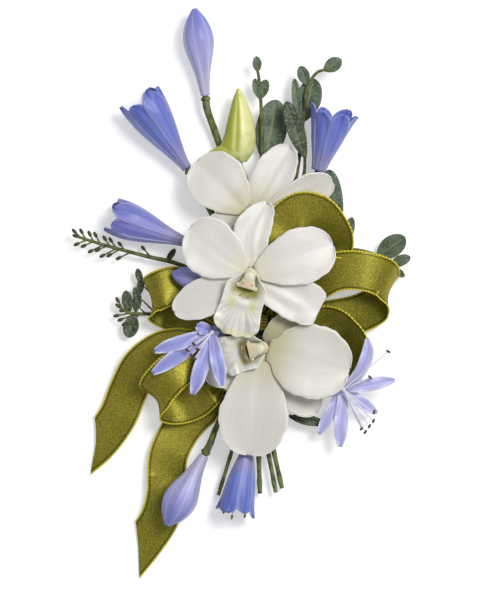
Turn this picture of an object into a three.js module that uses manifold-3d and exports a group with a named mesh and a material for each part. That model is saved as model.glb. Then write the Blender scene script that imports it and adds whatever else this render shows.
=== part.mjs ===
// A wired corsage lying on its back: three dendrobium orchids and a bud, nine agapanthus florets,
// eucalyptus and seeded greens, and a bow of satin ribbon, all bound on one taped bundle of stems.
// Millimetres. X runs to the viewer's right, Y up the stems, Z out of the flowers' faces.
// Places are shares: the first two of the spray's length, the third of its depth.
import * as THREE from "three";
import { mergeVertices } from "three/addons/utils/BufferGeometryUtils.js";
import Module from "manifold-3d";

const wasm = await Module();
wasm.setup();

// Driving sizes
const sprayLength = 245; // from the top bud's tip to the end of the long tail
const sprayDepth = 36; // from the table to the front of the centre orchid
const clearance = 0.3; // between pieces that touch
const tepalThickness = 0.7;
const leafThickness = 0.6;
const ribbonWidth = 16;
const ribbonThickness = 0.4;
const tieLength = 14; // stretch over which a ribbon opens from its gathered end
const gatheredShare = 0.34; // width of a gathered end over the ribbon's width

// The taped bundle
const bundleLength = 0.2367 * sprayLength;
const bundleWidth = 14.5;
const bundleHeight = 6.6;
const bundleCorner = 1.6;
const tapeWall = 0.7;
const tapeBare = 4; // bundle left bare at each end of the tape
const bundlePlaceShares = [0.02, -0.117];
const slotPitch = 2.75; // between stems side by side in the bundle's end
const slotRowShares = { low: 0.27, high: 0.75 }; // of the bundle's height
const stemSeat = 0.35; // from a stem's end to the bundle

// The corsage pin and its way through the bundle
const pinLength = 38;
const pinRadius = 0.45;
const pinBoreRadius = 0.85;
const pinHeadRadius = 2.1;
const pinHeadGap = 14; // from the tape to the head
const pinPlaceShare = -0.153;

const tapeOuterHeight = bundleHeight + 2 * (tapeWall + clearance);
const tapeOuterWidth = bundleWidth + 2 * (tapeWall + clearance);
const bundleMiddleHeight = tapeOuterHeight / 2;
const pinHeight = pinHeadRadius + clearance;

const colours = {
  petal: 0xd8d6d0,
  lip: 0xd6d3b8,
  column: 0xe2c8ae,
  budGreen: 0xc6c96a,
  bloom: 0x6f78c8,
  bloomPale: 0xb4b6e4,
  anther: 0x3a2f1c,
  stem: 0x6d7c42,
  leaf: 0x4a5f4c,
  seeded: 0x3c4020,
  ribbon: 0x6f6a1e,
  tape: 0x5c6b3a,
  wire: 0x8a8f7a,
  pearl: 0xf2efe6,
};

const matteShare = 0.6; // roughness of every piece
const mergeDistance = 0.0001; // corners nearer than this are one corner

const corsage = new THREE.Group();

function radians(degrees) {
  return THREE.MathUtils.degToRad(degrees);
}

function mix(from, to, share) {
  return THREE.MathUtils.lerp(from, to, share);
}

// Sizes from shares of the spray's length, and of its depth.
function spread(share) {
  return share * sprayLength;
}

function risen(share) {
  return share * sprayDepth;
}

// A point of the spray from its three shares.
function place([right, up, out]) {
  return new THREE.Vector3(spread(right), spread(up), risen(out));
}

function addPiece(name, geometry, colour, parent = corsage) {
  const material = new THREE.MeshStandardMaterial({ color: colour, roughness: matteShare });
  const piece = new THREE.Mesh(geometry, material);
  piece.name = name;
  parent.add(piece);
  return piece;
}

// Solids from manifold-3d

function toSolid(geometry) {
  const bare = geometry.clone();
  for (const name of Object.keys(bare.attributes)) {
    if (name !== "position") bare.deleteAttribute(name);
  }
  const merged = mergeVertices(bare, mergeDistance);
  const mesh = new wasm.Mesh({
    numProp: 3,
    vertProperties: merged.attributes.position.array,
    triVerts: new Uint32Array(merged.index.array),
  });
  return new wasm.Manifold(mesh);
}

function toGeometry(solid) {
  const mesh = solid.getMesh();
  const geometry = new THREE.BufferGeometry();
  geometry.setAttribute("position", new THREE.BufferAttribute(mesh.vertProperties, 3));
  geometry.setIndex(new THREE.BufferAttribute(mesh.triVerts, 1));
  return geometry;
}

function joined(geometries) {
  const solids = geometries.map(toSolid);
  return toGeometry(solids.reduce((whole, solid) => whole.add(solid)));
}

function cutBy(geometry, cutters) {
  const solids = cutters.map(toSolid);
  return toGeometry(solids.reduce((whole, solid) => whole.subtract(solid), toSolid(geometry)));
}

// A closed solid from corner points and triangles.
function meshOf(points, triangles) {
  const geometry = new THREE.BufferGeometry().setFromPoints(points);
  geometry.setIndex(triangles);
  return geometry;
}

// A curved sheet: pointAt(along, across) is its middle, with along from 0 to 1 and across from -1 to 1.
function sheet(pointAt, rows, columns, thickness) {
  const middle = [];
  for (let row = 0; row <= rows; row += 1) {
    for (let column = 0; column <= columns; column += 1) {
      middle.push(pointAt(row / rows, (2 * column) / columns - 1));
    }
  }
  const width = columns + 1;
  const indexOf = (row, column) => row * width + column;
  const top = [];
  const bottom = [];
  for (let row = 0; row <= rows; row += 1) {
    for (let column = 0; column <= columns; column += 1) {
      const ahead = middle[indexOf(Math.min(row + 1, rows), column)];
      const behind = middle[indexOf(Math.max(row - 1, 0), column)];
      const left = middle[indexOf(row, Math.min(column + 1, columns))];
      const right = middle[indexOf(row, Math.max(column - 1, 0))];
      const normal = ahead.clone().sub(behind).cross(left.clone().sub(right)).normalize();
      const point = middle[indexOf(row, column)];
      top.push(point.clone().addScaledVector(normal, thickness / 2));
      bottom.push(point.clone().addScaledVector(normal, -thickness / 2));
    }
  }
  const under = top.length;
  const triangles = [];
  for (let row = 0; row < rows; row += 1) {
    for (let column = 0; column < columns; column += 1) {
      const [a, b] = [indexOf(row, column), indexOf(row + 1, column)];
      const [c, d] = [indexOf(row + 1, column + 1), indexOf(row, column + 1)];
      triangles.push(a, b, c, a, c, d);
      triangles.push(under + a, under + c, under + b, under + a, under + d, under + c);
    }
  }
  const rim = [];
  for (let row = 0; row < rows; row += 1) rim.push(indexOf(row, 0));
  for (let column = 0; column < columns; column += 1) rim.push(indexOf(rows, column));
  for (let row = rows; row > 0; row -= 1) rim.push(indexOf(row, columns));
  for (let column = columns; column > 0; column -= 1) rim.push(indexOf(0, column));
  rim.forEach((a, step) => {
    const b = rim[(step + 1) % rim.length];
    triangles.push(under + a, under + b, b, under + a, b, a);
  });
  return meshOf([...top, ...bottom], triangles);
}

// A closed solid through rings of equally many points, each counter-clockwise about the way ahead.
function loft(rings) {
  const sides = rings[0].length;
  const points = rings.flat();
  const triangles = [];
  for (let ring = 0; ring < rings.length - 1; ring += 1) {
    for (let side = 0; side < sides; side += 1) {
      const next = (side + 1) % sides;
      const [a, b] = [ring * sides + side, ring * sides + next];
      const [c, d] = [(ring + 1) * sides + next, (ring + 1) * sides + side];
      triangles.push(a, b, c, a, c, d);
    }
  }
  const centreOf = (ring) => ring.reduce((sum, p) => sum.add(p), new THREE.Vector3()).divideScalar(sides);
  const start = points.push(centreOf(rings[0])) - 1;
  const end = points.push(centreOf(rings[rings.length - 1])) - 1;
  const last = (rings.length - 1) * sides;
  for (let side = 0; side < sides; side += 1) {
    const next = (side + 1) % sides;
    triangles.push(start, next, side, end, last + side, last + next);
  }
  return meshOf(points, triangles);
}

// A round body along a curve: radiusAt(along) is its radius, with along from 0 to 1.
function taper(points, radiusAt, steps, sides) {
  const curve = new THREE.CatmullRomCurve3(points);
  const frames = curve.computeFrenetFrames(steps);
  const rings = [];
  for (let step = 0; step <= steps; step += 1) {
    const centre = curve.getPointAt(step / steps);
    const radius = radiusAt(step / steps);
    const ring = [];
    for (let side = 0; side < sides; side += 1) {
      const turn = (2 * Math.PI * side) / sides;
      const point = centre.clone().addScaledVector(frames.normals[step], radius * Math.cos(turn));
      ring.push(point.addScaledVector(frames.binormals[step], radius * Math.sin(turn)));
    }
    rings.push(ring);
  }
  return loft(rings);
}

// A small rounded grain.
function bead(radius, centre) {
  return new THREE.IcosahedronGeometry(radius, 0).translate(centre.x, centre.y, centre.z);
}

function ball(radius, centre, steps) {
  const geometry = new THREE.SphereGeometry(radius, steps, Math.ceil(steps / 2) + 1);
  return geometry.translate(centre.x, centre.y, centre.z);
}

// Shares as sizes of a whole.
function sized(shares, whole) {
  return shares.map((share) => share * whole);
}

// A radius that runs through equally spaced sizes.
function through(sizes) {
  return (along) => {
    const spot = along * (sizes.length - 1);
    const before = Math.min(Math.floor(spot), sizes.length - 2);
    return mix(sizes[before], sizes[before + 1], spot - before);
  };
}

// The stem bundle, its tape and the pin

const bundleCentre = new THREE.Vector3(
  bundlePlaceShares[0] * sprayLength,
  bundlePlaceShares[1] * sprayLength,
  bundleMiddleHeight,
);
const bundleTop = bundleCentre.y + bundleLength / 2;
const bundleBottom = bundleCentre.y - bundleLength / 2;
const tapeLength = bundleLength - 2 * tapeBare;
const tapeLeft = bundleCentre.x - tapeOuterWidth / 2;
const tapeRight = bundleCentre.x + tapeOuterWidth / 2;

function roundedOutline(width, height, corner) {
  const outline = new THREE.Shape();
  const x = width / 2 - corner;
  const y = height / 2 - corner;
  outline.absarc(x, y, corner, 0, Math.PI / 2);
  outline.absarc(-x, y, corner, Math.PI / 2, Math.PI);
  outline.absarc(-x, -y, corner, Math.PI, 1.5 * Math.PI);
  outline.absarc(x, -y, corner, 1.5 * Math.PI, 2 * Math.PI);
  return outline;
}

// A bar of the outline's section, lying along Y about the bundle's middle.
function lyingBar(outline, length) {
  const settings = { depth: length, bevelEnabled: false, curveSegments: 3 };
  const bar = new THREE.ExtrudeGeometry(outline, settings);
  bar.translate(0, 0, -length / 2);
  bar.rotateX(-Math.PI / 2);
  return bar.translate(bundleCentre.x, bundleCentre.y, bundleCentre.z);
}

const pinRow = pinPlaceShare * sprayLength;
const pinHeadCentre = new THREE.Vector3(tapeRight + pinHeadGap, pinRow, pinHeight);

function alongX(radius, from, to, sides) {
  const rod = new THREE.CylinderGeometry(radius, radius, to.x - from.x, sides);
  rod.rotateZ(Math.PI / 2);
  return rod.translate((from.x + to.x) / 2, from.y, from.z);
}

const cutEnds = [
  { fromShares: [-0.005, -0.225, 0.13], toShares: [-0.041, -0.342, 0.12], radiusShare: 0.0033 },
  { fromShares: [0.027, -0.225, 0.14], toShares: [0.031, -0.339, 0.1], radiusShare: 0.0041 },
  { fromShares: [0.037, -0.225, 0.14], toShares: [0.058, -0.337, 0.13], radiusShare: 0.0037 },
  { fromShares: [0.044, -0.22, 0.13], toShares: [0.069, -0.33, 0.1], radiusShare: 0.0041 },
];

function addBundle() {
  const boreFrom = new THREE.Vector3(tapeLeft - pinLength, pinRow, pinHeight);
  const bore = alongX(pinBoreRadius, boreFrom, pinHeadCentre, 10);
  const core = roundedOutline(bundleWidth, bundleHeight, bundleCorner);
  const stubs = cutEnds.map(({ fromShares, toShares, radiusShare }) => {
    const [start, end] = [place(fromShares), place(toShares)];
    return taper([start, start.clone().lerp(end, 0.5), end], () => spread(radiusShare), 2, 7);
  });
  addPiece("stem_bundle", cutBy(joined([lyingBar(core, bundleLength), ...stubs]), [bore]), colours.stem);

  const wrap = roundedOutline(tapeOuterWidth, tapeOuterHeight, bundleCorner + tapeWall);
  const bareWidth = bundleWidth + 2 * clearance;
  const bareHeight = bundleHeight + 2 * clearance;
  wrap.holes.push(roundedOutline(bareWidth, bareHeight, bundleCorner + clearance));
  addPiece("binding_tape", cutBy(lyingBar(wrap, tapeLength), [bore]), colours.tape);

  const tip = new THREE.Vector3(pinHeadCentre.x - pinLength, pinRow, pinHeight);
  const shaft = alongX(pinRadius, tip, pinHeadCentre, 8);
  addPiece("corsage_pin", joined([shaft, ball(pinHeadRadius, pinHeadCentre, 10)]), colours.pearl);
}

// Where a stem meets the bundle's upper end: column from -2 to 2, in the low or the high row.
function topSlot(column, row) {
  const height = bundleMiddleHeight + (slotRowShares[row] - 0.5) * bundleHeight;
  return new THREE.Vector3(bundleCentre.x + column * slotPitch, bundleTop + stemSeat, height);
}

// The last two places of a stem that meets the bundle's lower end squarely.
function bottomSlot(column, approach) {
  const x = bundleCentre.x + column * slotPitch;
  const seat = new THREE.Vector3(x, bundleBottom - stemSeat, bundleMiddleHeight);
  return [seat.clone().add(new THREE.Vector3(0, -approach, 0)), seat];
}

// The last two places of a stem that meets the tape's side squarely, at a share of the spray's length.
function sideSeat(side, [upShare, outShare], approach) {
  const [edge, away] = side === "left" ? [tapeLeft - stemSeat, -1] : [tapeRight + stemSeat, 1];
  const seat = new THREE.Vector3(edge, upShare * sprayLength, outShare * sprayDepth);
  return [seat.clone().add(new THREE.Vector3(away * approach, 0, 0)), seat];
}

// Orchids

const columnRadius = 2.3;
const stalkRadius = 1.3;
const stalkApproach = 5.2; // a stalk enters the bundle's end straight from here
const tepalSeat = columnRadius + clearance;
const petalForward = 1.5; // petals stand this far in front of the sepals
const lipFootRadius = columnRadius + tepalThickness / 2 + 2 * clearance; // it runs round the column
const lipFootEndShare = 0.3; // of its length, where it no longer follows the column's round
const lipHalfShares = [0.3, 0.6, 0.9, 0.93, 0.96, 1, 0.93, 0.55]; // of half its width
const lipFloorShares = [0.078, 0.072, 0.15, 0.145, 0.125, 0.1, 0.06, 0.01]; // of its width, its middle's height
const lipRimShares = [0.25, 0.31, 0.28, 0.21, 0.17, 0.14, 0.09, 0.03]; // of its width, its rims' height
const lipBowl = 2.2; // how late the floor turns up to the rims
const lipWaveShare = 0.03; // of its width, the ruffle of its rim
const lipWaves = 2.5;
const columnOutlineShares = [0.95, 0.98, 1, 1.02, 0.75];
const chinRadiusShare = 0.217; // of the column's length, the face over the lip
const chinHeightShare = 0.78; // of the column's length
const chinReachShare = 0.76; // of the column's length
const chinHalfWidthShare = 0.23; // of the column's length
const petalShares = { claw: 0.2, widest: 0.6, tip: 0.16, swell: 1.4, cup: 0.07 };
const sepalShares = { claw: 0.29, widest: 0.5, tip: 0.1, swell: 1.1, cup: 0.09 };
const tipCrowdingShare = 1.5; // over 1, rows lie closer together near a tepal's tip

const orchids = [
  {
    name: "centre_orchid",
    columnLengthShare: 0.0282,
    columnLeanDeg: 78,
    placeShares: [0.014, 0.037, 0.64],
    tiltDeg: 0,
    lip: { aroundDeg: -102, lengthShare: 0.1061, widthShare: 0.0735, wrapDeg: 115 },
    stalkEndShares: [0.014, -0.007],
    tepals: [
      {
        name: "dorsal_sepal", aroundDeg: 77,
        lengthShare: 0.1184, widthShare: 0.0633, liftDeg: 4, curlDeg: 22,
        outline: { claw: 0.34, widest: 0.55, tip: 0.25, swell: 0.9 },
      },
      {
        name: "left_petal", aroundDeg: 143,
        lengthShare: 0.1327, widthShare: 0.1061, liftDeg: 10, curlDeg: 26,
      },
      {
        name: "right_petal", aroundDeg: 20,
        lengthShare: 0.1408, widthShare: 0.0959, liftDeg: 10, curlDeg: 26,
      },
      {
        name: "left_sepal", aroundDeg: 202,
        lengthShare: 0.1367, widthShare: 0.0673, liftDeg: 4, curlDeg: 18,
      },
      {
        name: "right_sepal", aroundDeg: -27,
        lengthShare: 0.1245, widthShare: 0.0776, liftDeg: 4, curlDeg: 13,
        outline: { claw: 0.36, widest: 0.66, tip: 0.55, swell: 1 },
      },
    ],
  },
  {
    name: "lower_orchid",
    columnLengthShare: 0.0282,
    columnLeanDeg: 78,
    placeShares: [0.034, -0.088, 0.46],
    tiltDeg: 0,
    lip: { aroundDeg: 194, lengthShare: 0.0735, widthShare: 0.0653, wrapDeg: 105, raiseShare: 0.0047 },
    stalkEndShares: [0.034, -0.095],
    tepals: [
      {
        name: "dorsal_sepal", aroundDeg: -50,
        lengthShare: 0.1367, widthShare: 0.0776, liftDeg: 0, curlDeg: 16,
      },
      {
        name: "left_petal", aroundDeg: -97,
        lengthShare: 0.1755, widthShare: 0.1184, liftDeg: 7, curlDeg: 22,
      },
      {
        name: "right_petal", aroundDeg: -9,
        lengthShare: 0.1469, widthShare: 0.1265, liftDeg: 12, curlDeg: 25, aheadShare: 0.67,
        outline: { claw: 0.24, widest: 0.54, tip: 0.3, swell: 1.1 },
      },
      {
        name: "left_sepal", aroundDeg: 192,
        lengthShare: 0.0918, widthShare: 0.0592, liftDeg: -4, curlDeg: 4,
      },
      {
        name: "right_sepal", aroundDeg: 40,
        lengthShare: 0.0796, widthShare: 0.0531, liftDeg: 5, curlDeg: 4,
      },
    ],
  },
  {
    name: "upper_orchid",
    columnLengthShare: 0.018,
    columnLeanDeg: 72,
    placeShares: [0.014, 0.14, 0.4],
    tiltDeg: -8,
    lip: { aroundDeg: -90, lengthShare: 0.0449, widthShare: 0.0449, wrapDeg: 60, raiseShare: 0.002 },
    stalkEndShares: null,
    tepals: [
      {
        name: "dorsal_sepal", aroundDeg: 60,
        lengthShare: 0.1265, widthShare: 0.0694, liftDeg: 6, curlDeg: 14,
      },
      {
        name: "left_petal", aroundDeg: 135,
        lengthShare: 0.1347, widthShare: 0.1041, liftDeg: 8, curlDeg: 24,
      },
      {
        name: "right_petal", aroundDeg: 27,
        lengthShare: 0.1429, widthShare: 0.0857, liftDeg: 6, curlDeg: 20, rollDeg: 32,
      },
      {
        name: "left_sepal", aroundDeg: 205,
        lengthShare: 0.0776, widthShare: 0.0571, liftDeg: 2, curlDeg: 14,
      },
      {
        name: "right_sepal", aroundDeg: -28,
        lengthShare: 0.0816, widthShare: 0.0571, liftDeg: 2, curlDeg: 14,
      },
    ],
  },
];

// Half width of a tepal, as a share of its widest, from claw to tip.
function tepalOutline(along, { claw, widest, tip, swell }) {
  if (along < widest) {
    return mix(claw, 1, Math.sin((Math.PI / 2) * (along / widest)) ** swell);
  }
  const beyond = (along - widest) / (1 - widest);
  return mix(tip, 1, Math.sqrt(1 - beyond ** 2));
}

function towardsTip(along) {
  return 1 - (1 - along) ** tipCrowdingShare;
}

function tepalSheet(tepal) {
  const round = tepal.name.endsWith("petal");
  const lift = radians(tepal.liftDeg);
  const curl = radians(tepal.curlDeg);
  const roll = radians(tepal.rollDeg ?? 0);
  const around = radians(tepal.aroundDeg);
  const forward = round ? petalForward * (1 + (tepal.aheadShare ?? 0)) : 0;
  const shares = { ...(round ? petalShares : sepalShares), ...tepal.outline };
  const [length, width] = [spread(tepal.lengthShare), spread(tepal.widthShare)];
  const pointAt = (step, across) => {
    const along = towardsTip(step);
    const half = (width / 2) * tepalOutline(along, shares);
    const bend = lift - curl * along;
    const out = tepalSeat + (length * (Math.sin(lift) - Math.sin(bend))) / curl;
    const rise = forward + (length * (Math.cos(bend) - Math.cos(lift))) / curl;
    const cup = width * shares.cup * across ** 2 * along;
    const side = half * across * Math.cos(roll);
    const up = rise + half * across * Math.sin(roll) * along + cup;
    return new THREE.Vector3(out, side, up).applyAxisAngle(new THREE.Vector3(0, 0, 1), around);
  };
  return sheet(pointAt, 7, round ? 6 : 4, tepalThickness);
}

// The lip: a cup round the column whose rims run out into a broad wavy lobe.
function lipSheet(lip) {
  const [length, width] = [spread(lip.lengthShare), spread(lip.widthShare)];
  const around = radians(lip.aroundDeg);
  const wrap = radians(lip.wrapDeg);
  const [half, floor, rim] = [lipHalfShares, lipFloorShares, lipRimShares].map(through);
  const pointAt = (along, across) => {
    const foot = Math.max(1 - along / lipFootEndShare, 0);
    const out = lipFootRadius * Math.cos(wrap * across) * (1 - along) ** 2 + length * along;
    const open = (width / 2) * half(along) * across;
    const side = mix(open, lipFootRadius * Math.sin(wrap * across), foot);
    const ruffle = width * lipWaveShare * along * Math.abs(across) * Math.cos(2 * Math.PI * lipWaves * along);
    const raised = spread(lip.raiseShare ?? 0) + ruffle;
    const up = width * mix(floor(along), rim(along), Math.abs(across) ** lipBowl) + raised;
    return new THREE.Vector3(out, side, up).applyAxisAngle(new THREE.Vector3(0, 0, 1), around);
  };
  return sheet(pointAt, 10, 8, tepalThickness);
}

// Where an orchid's stalk is bound: on the tape or the bare bundle below it, or in the bundle's end.
function stalkSeat(endShares) {
  if (!endShares) return topSlot(0, "high");
  const [x, y] = endShares.map(spread);
  const onBare = y > bundleTop - tapeBare;
  const height = onBare ? bundleMiddleHeight + bundleHeight / 2 : tapeOuterHeight;
  return new THREE.Vector3(x, y, height + stemSeat);
}

// The column leans over the lip; behind it the stalk runs back to where it is bound.
function columnSolid(orchid, group) {
  const around = radians(orchid.lip.aroundDeg);
  const lean = radians(orchid.columnLeanDeg);
  const ahead = new THREE.Vector3(
    Math.cos(around) * Math.cos(lean),
    Math.sin(around) * Math.cos(lean),
    Math.sin(lean),
  );
  const tip = ahead.multiplyScalar(spread(orchid.columnLengthShare));
  const heel = new THREE.Vector3(0, 0, -petalForward);
  const bend = new THREE.Vector3(0, 0, columnRadius);
  const body = taper([heel, bend, tip], through(sized(columnOutlineShares, columnRadius)), 6, 8);
  const length = spread(orchid.columnLengthShare);
  const brow = new THREE.Vector3(0, 0, chinHeightShare * length);
  const faces = [-1, 1].map((way) => {
    const chin = new THREE.Vector3(chinReachShare * length, way * chinHalfWidthShare * length, brow.z);
    chin.applyAxisAngle(new THREE.Vector3(0, 0, 1), around);
    return taper([brow, brow.clone().lerp(chin, 0.5), chin], () => chinRadiusShare * length, 3, 8);
  });
  const end = stalkSeat(orchid.stalkEndShares);
  const approach = orchid.stalkEndShares ? [0, 0, stalkRadius] : [0, stalkApproach, 0];
  const away = end.clone().add(new THREE.Vector3(...approach));
  const back = new THREE.Vector3(0, 0, -petalForward - stalkRadius);
  const route = [new THREE.Vector3(), back, group.worldToLocal(away), group.worldToLocal(end)];
  return joined([body, ...faces, taper(route, () => stalkRadius, 8, 7)]);
}

function addOrchid(orchid) {
  const group = new THREE.Group();
  group.position.copy(place(orchid.placeShares));
  group.rotation.x = radians(orchid.tiltDeg);
  corsage.add(group);
  corsage.updateMatrixWorld(true);
  for (const tepal of orchid.tepals) {
    addPiece(`${orchid.name}_${tepal.name}`, tepalSheet(tepal), colours.petal, group);
  }
  addPiece(`${orchid.name}_lip`, lipSheet(orchid.lip), colours.lip, group);
  addPiece(`${orchid.name}_column`, columnSolid(orchid, group), colours.column, group);
}

// The green orchid bud on its stalk, with the spur at its foot

const orchidBud = {
  tipShares: [-0.006, 0.357, 0.28],
  middleShares: [-0.003, 0.292, 0.22],
  baseShares: [-0.005, 0.232, 0.2],
  spurShares: [-0.056, 0.245, 0.25],
  viaShares: [0.012, 0.18, 0.18],
  radiusShare: 0.0265,
};
const orchidBudOutlineShares = [0.5, 0.9, 1, 0.97, 0.84, 0.64, 0.42, 0.1];
const spurOutlineShares = [0.6, 0.42, 0.26, 0.12];
const spurFootShare = 0.16; // of the bud's length, where its spur leaves it
const stalkInsideShare = 0.1; // of the bud's length, how far its stalk runs in

function addOrchidBud() {
  const base = place(orchidBud.baseShares);
  const tip = place(orchidBud.tipShares);
  const slot = topSlot(0, "low");
  const lower = slot.clone().add(new THREE.Vector3(0, stalkApproach, 0));
  const radiusAt = through(sized(orchidBudOutlineShares, spread(orchidBud.radiusShare)));
  const body = taper([base, place(orchidBud.middleShares), tip], radiusAt, 10, 10);
  const inside = base.clone().lerp(tip, stalkInsideShare);
  const foot = base.clone().lerp(tip, spurFootShare);
  const spurTip = place(orchidBud.spurShares);
  const spurRadiusAt = through(sized(spurOutlineShares, spread(orchidBud.radiusShare)));
  const spur = taper([foot, foot.clone().lerp(spurTip, 0.5), spurTip], spurRadiusAt, 5, 9);
  const stalk = taper([inside, base, place(orchidBud.viaShares), lower, slot], () => stalkRadius, 9, 7);
  addPiece("orchid_bud", joined([body, spur, stalk]), colours.budGreen);
}

// Agapanthus florets, each along its own X axis from base to mouth

const floretStemRadius = 1.2; // where it enters the bundle
const floretNeckRadius = 1.6; // under the flower
const hingeRadius = 1.6; // the rounded end of a stem that its floret nods on
const bloomWall = 0.9;
const trumpetSides = 24;
const flareShare = 1.4; // how late a trumpet opens
const closingFrom = 0.6; // share of its length from which a half-open trumpet draws in
const filamentRadius = 0.3;
const antherRadius = 0.9;
const stamenFootRadius = 1.1;
const stemApproach = 2.4; // a stem meets the bundle straight from here
const neckLength = 3.2; // a stem leaves its floret straight for this far
const closedBudOutlineShares = [0.3, 0.38, 0.5, 0.68, 0.88, 1, 0.93, 0.66, 0.16];
const outsideShares = [0, 0.3, 0.6, 0.82, 1];
const insideShares = [1, 0.78, 0.5];
const lobeSwellShare = 0.12; // of the radius, how far a trumpet's lobes stand out
const strapOutlineShares = [0.5, 0.8, 0.98, 1, 0.86, 0.3];
const strapCupShare = 0.125; // of its width, how far a lobe's edges stand up
const starTubeRadii = [2, 2.4, 3];

function closedBud(floret) {
  const end = new THREE.Vector3(spread(floret.lengthShare), 0, 0);
  const radii = sized(closedBudOutlineShares, spread(floret.widthShare) / 2);
  return taper([new THREE.Vector3(), end.clone().divideScalar(2), end], through(radii), 9, 12);
}

// A trumpet with six lobes: the outside out to the rim, then the inside back down to the throat.
function trumpet(floret) {
  const base = spread(floret.baseWidthShare) / 2;
  const mouth = spread(floret.widthShare) / 2;
  const closing = floret.closingShare ?? 0;
  const flare = (along) => {
    const open = mix(base, mouth, Math.sin((Math.PI / 2) * along) ** flareShare);
    return open * (1 - closing * (Math.max(along - closingFrom, 0) / (1 - closingFrom)) ** 2);
  };
  const ringAt = (along, inset) => {
    const ring = [];
    for (let side = 0; side < trumpetSides; side += 1) {
      const turn = (2 * Math.PI * side) / trumpetSides;
      const lobe = Math.sqrt(0.5 + 0.5 * Math.cos(6 * turn));
      const reach = along * (1 - floret.notchShare * (1 - lobe) * along ** 3);
      const radius = flare(reach) * (1 + lobeSwellShare * lobe * along ** 4) - inset;
      const x = spread(floret.lengthShare) * reach;
      ring.push(new THREE.Vector3(x, radius * Math.cos(turn), radius * Math.sin(turn)));
    }
    return ring;
  };
  const outside = outsideShares.map((along) => ringAt(along, 0));
  const inside = insideShares.map((along) => ringAt(along, bloomWall));
  return loft([...outside, ...inside]);
}

// A strap-shaped lobe from the throat to its tip, arched out of the flower.
function strap(lobe) {
  const start = place(lobe.fromShares);
  const end = place(lobe.toShares);
  const crest = lobe.viaShares ? place(lobe.viaShares) : start.clone().lerp(end, 0.5);
  crest.z += risen(lobe.archShare);
  const curve = new THREE.QuadraticBezierCurve3(start, crest, end);
  const outline = through(strapOutlineShares);
  const pointAt = (along, across) => {
    const side = new THREE.Vector3(0, 0, 1).cross(curve.getTangentAt(along)).normalize();
    const half = (spread(lobe.widthShare) / 2) * outline(along);
    const cup = spread(lobe.widthShare) * strapCupShare * across ** 2 * along;
    return curve.getPointAt(along).addScaledVector(side, half * across).add(new THREE.Vector3(0, 0, cup));
  };
  return sheet(pointAt, 5, 2, bloomWall);
}

const florets = [
  {
    name: "top_bud",
    kind: "bud",
    placeShares: [-0.063, 0.345, 0.2],
    headingDeg: 97,
    riseDeg: 3,
    lengthShare: 0.151,
    widthShare: 0.0514,
    slot: [-1, "high"],
    viaShares: [[-0.041, 0.267, 0.12], [-0.014, 0.16, 0.16]],
    nods: true,
  },
  {
    name: "upper_left_floret",
    kind: "trumpet",
    placeShares: [-0.094, 0.22, 0.23],
    headingDeg: 124,
    riseDeg: 4,
    lengthShare: 0.151,
    widthShare: 0.0816,
    baseWidthShare: 0.0171,
    notchShare: 0.2,
    closingShare: 0.15,
    slot: [-1, "low"],
    viaShares: [[-0.046, 0.131, 0.16]],
    nods: true,
  },
  {
    name: "left_floret",
    kind: "trumpet",
    placeShares: [-0.099, 0.095, 0.22],
    headingDeg: 160,
    riseDeg: 3,
    lengthShare: 0.1367,
    widthShare: 0.0735,
    baseWidthShare: 0.0188,
    notchShare: 0.2,
    closingShare: 0.4,
    slot: [-2, "low"],
    viaShares: [[-0.054, 0.066, 0.17]],
    nods: true,
  },
  {
    name: "lower_left_bud",
    kind: "bud",
    placeShares: [-0.065, -0.272, 0.33],
    headingDeg: 242,
    riseDeg: -2,
    lengthShare: 0.1367,
    widthShare: 0.0563,
    side: "left",
    sideShares: [-0.194, 0.13],
    viaShares: [[-0.043, -0.222, 0.24]],
    nods: true,
  },
  {
    name: "bottom_bell",
    kind: "trumpet",
    placeShares: [0.008, -0.266, 0.25],
    headingDeg: 259,
    riseDeg: -1,
    lengthShare: 0.1102,
    widthShare: 0.0612,
    baseWidthShare: 0.0204,
    notchShare: 0.3,
    bottomColumn: -0.7,
  },
  {
    name: "upper_right_floret",
    kind: "trumpet",
    placeShares: [0.132, 0.217, 0.25],
    headingDeg: 75,
    riseDeg: 10,
    lengthShare: 0.1102,
    widthShare: 0.0755,
    baseWidthShare: 0.0265,
    notchShare: 0.42,
    slot: [2, "high"],
    viaShares: [[0.095, 0.14, 0.19]],
  },
  {
    name: "hidden_floret",
    kind: "bud",
    placeShares: [-0.045, 0.02, 0.42],
    headingDeg: 165,
    riseDeg: 0,
    lengthShare: 0.0776,
    widthShare: 0.0347,
    whole: true,
    slot: [-2, "high"],
    viaShares: [[-0.034, 0.032, 0.27]],
  },
];

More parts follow.
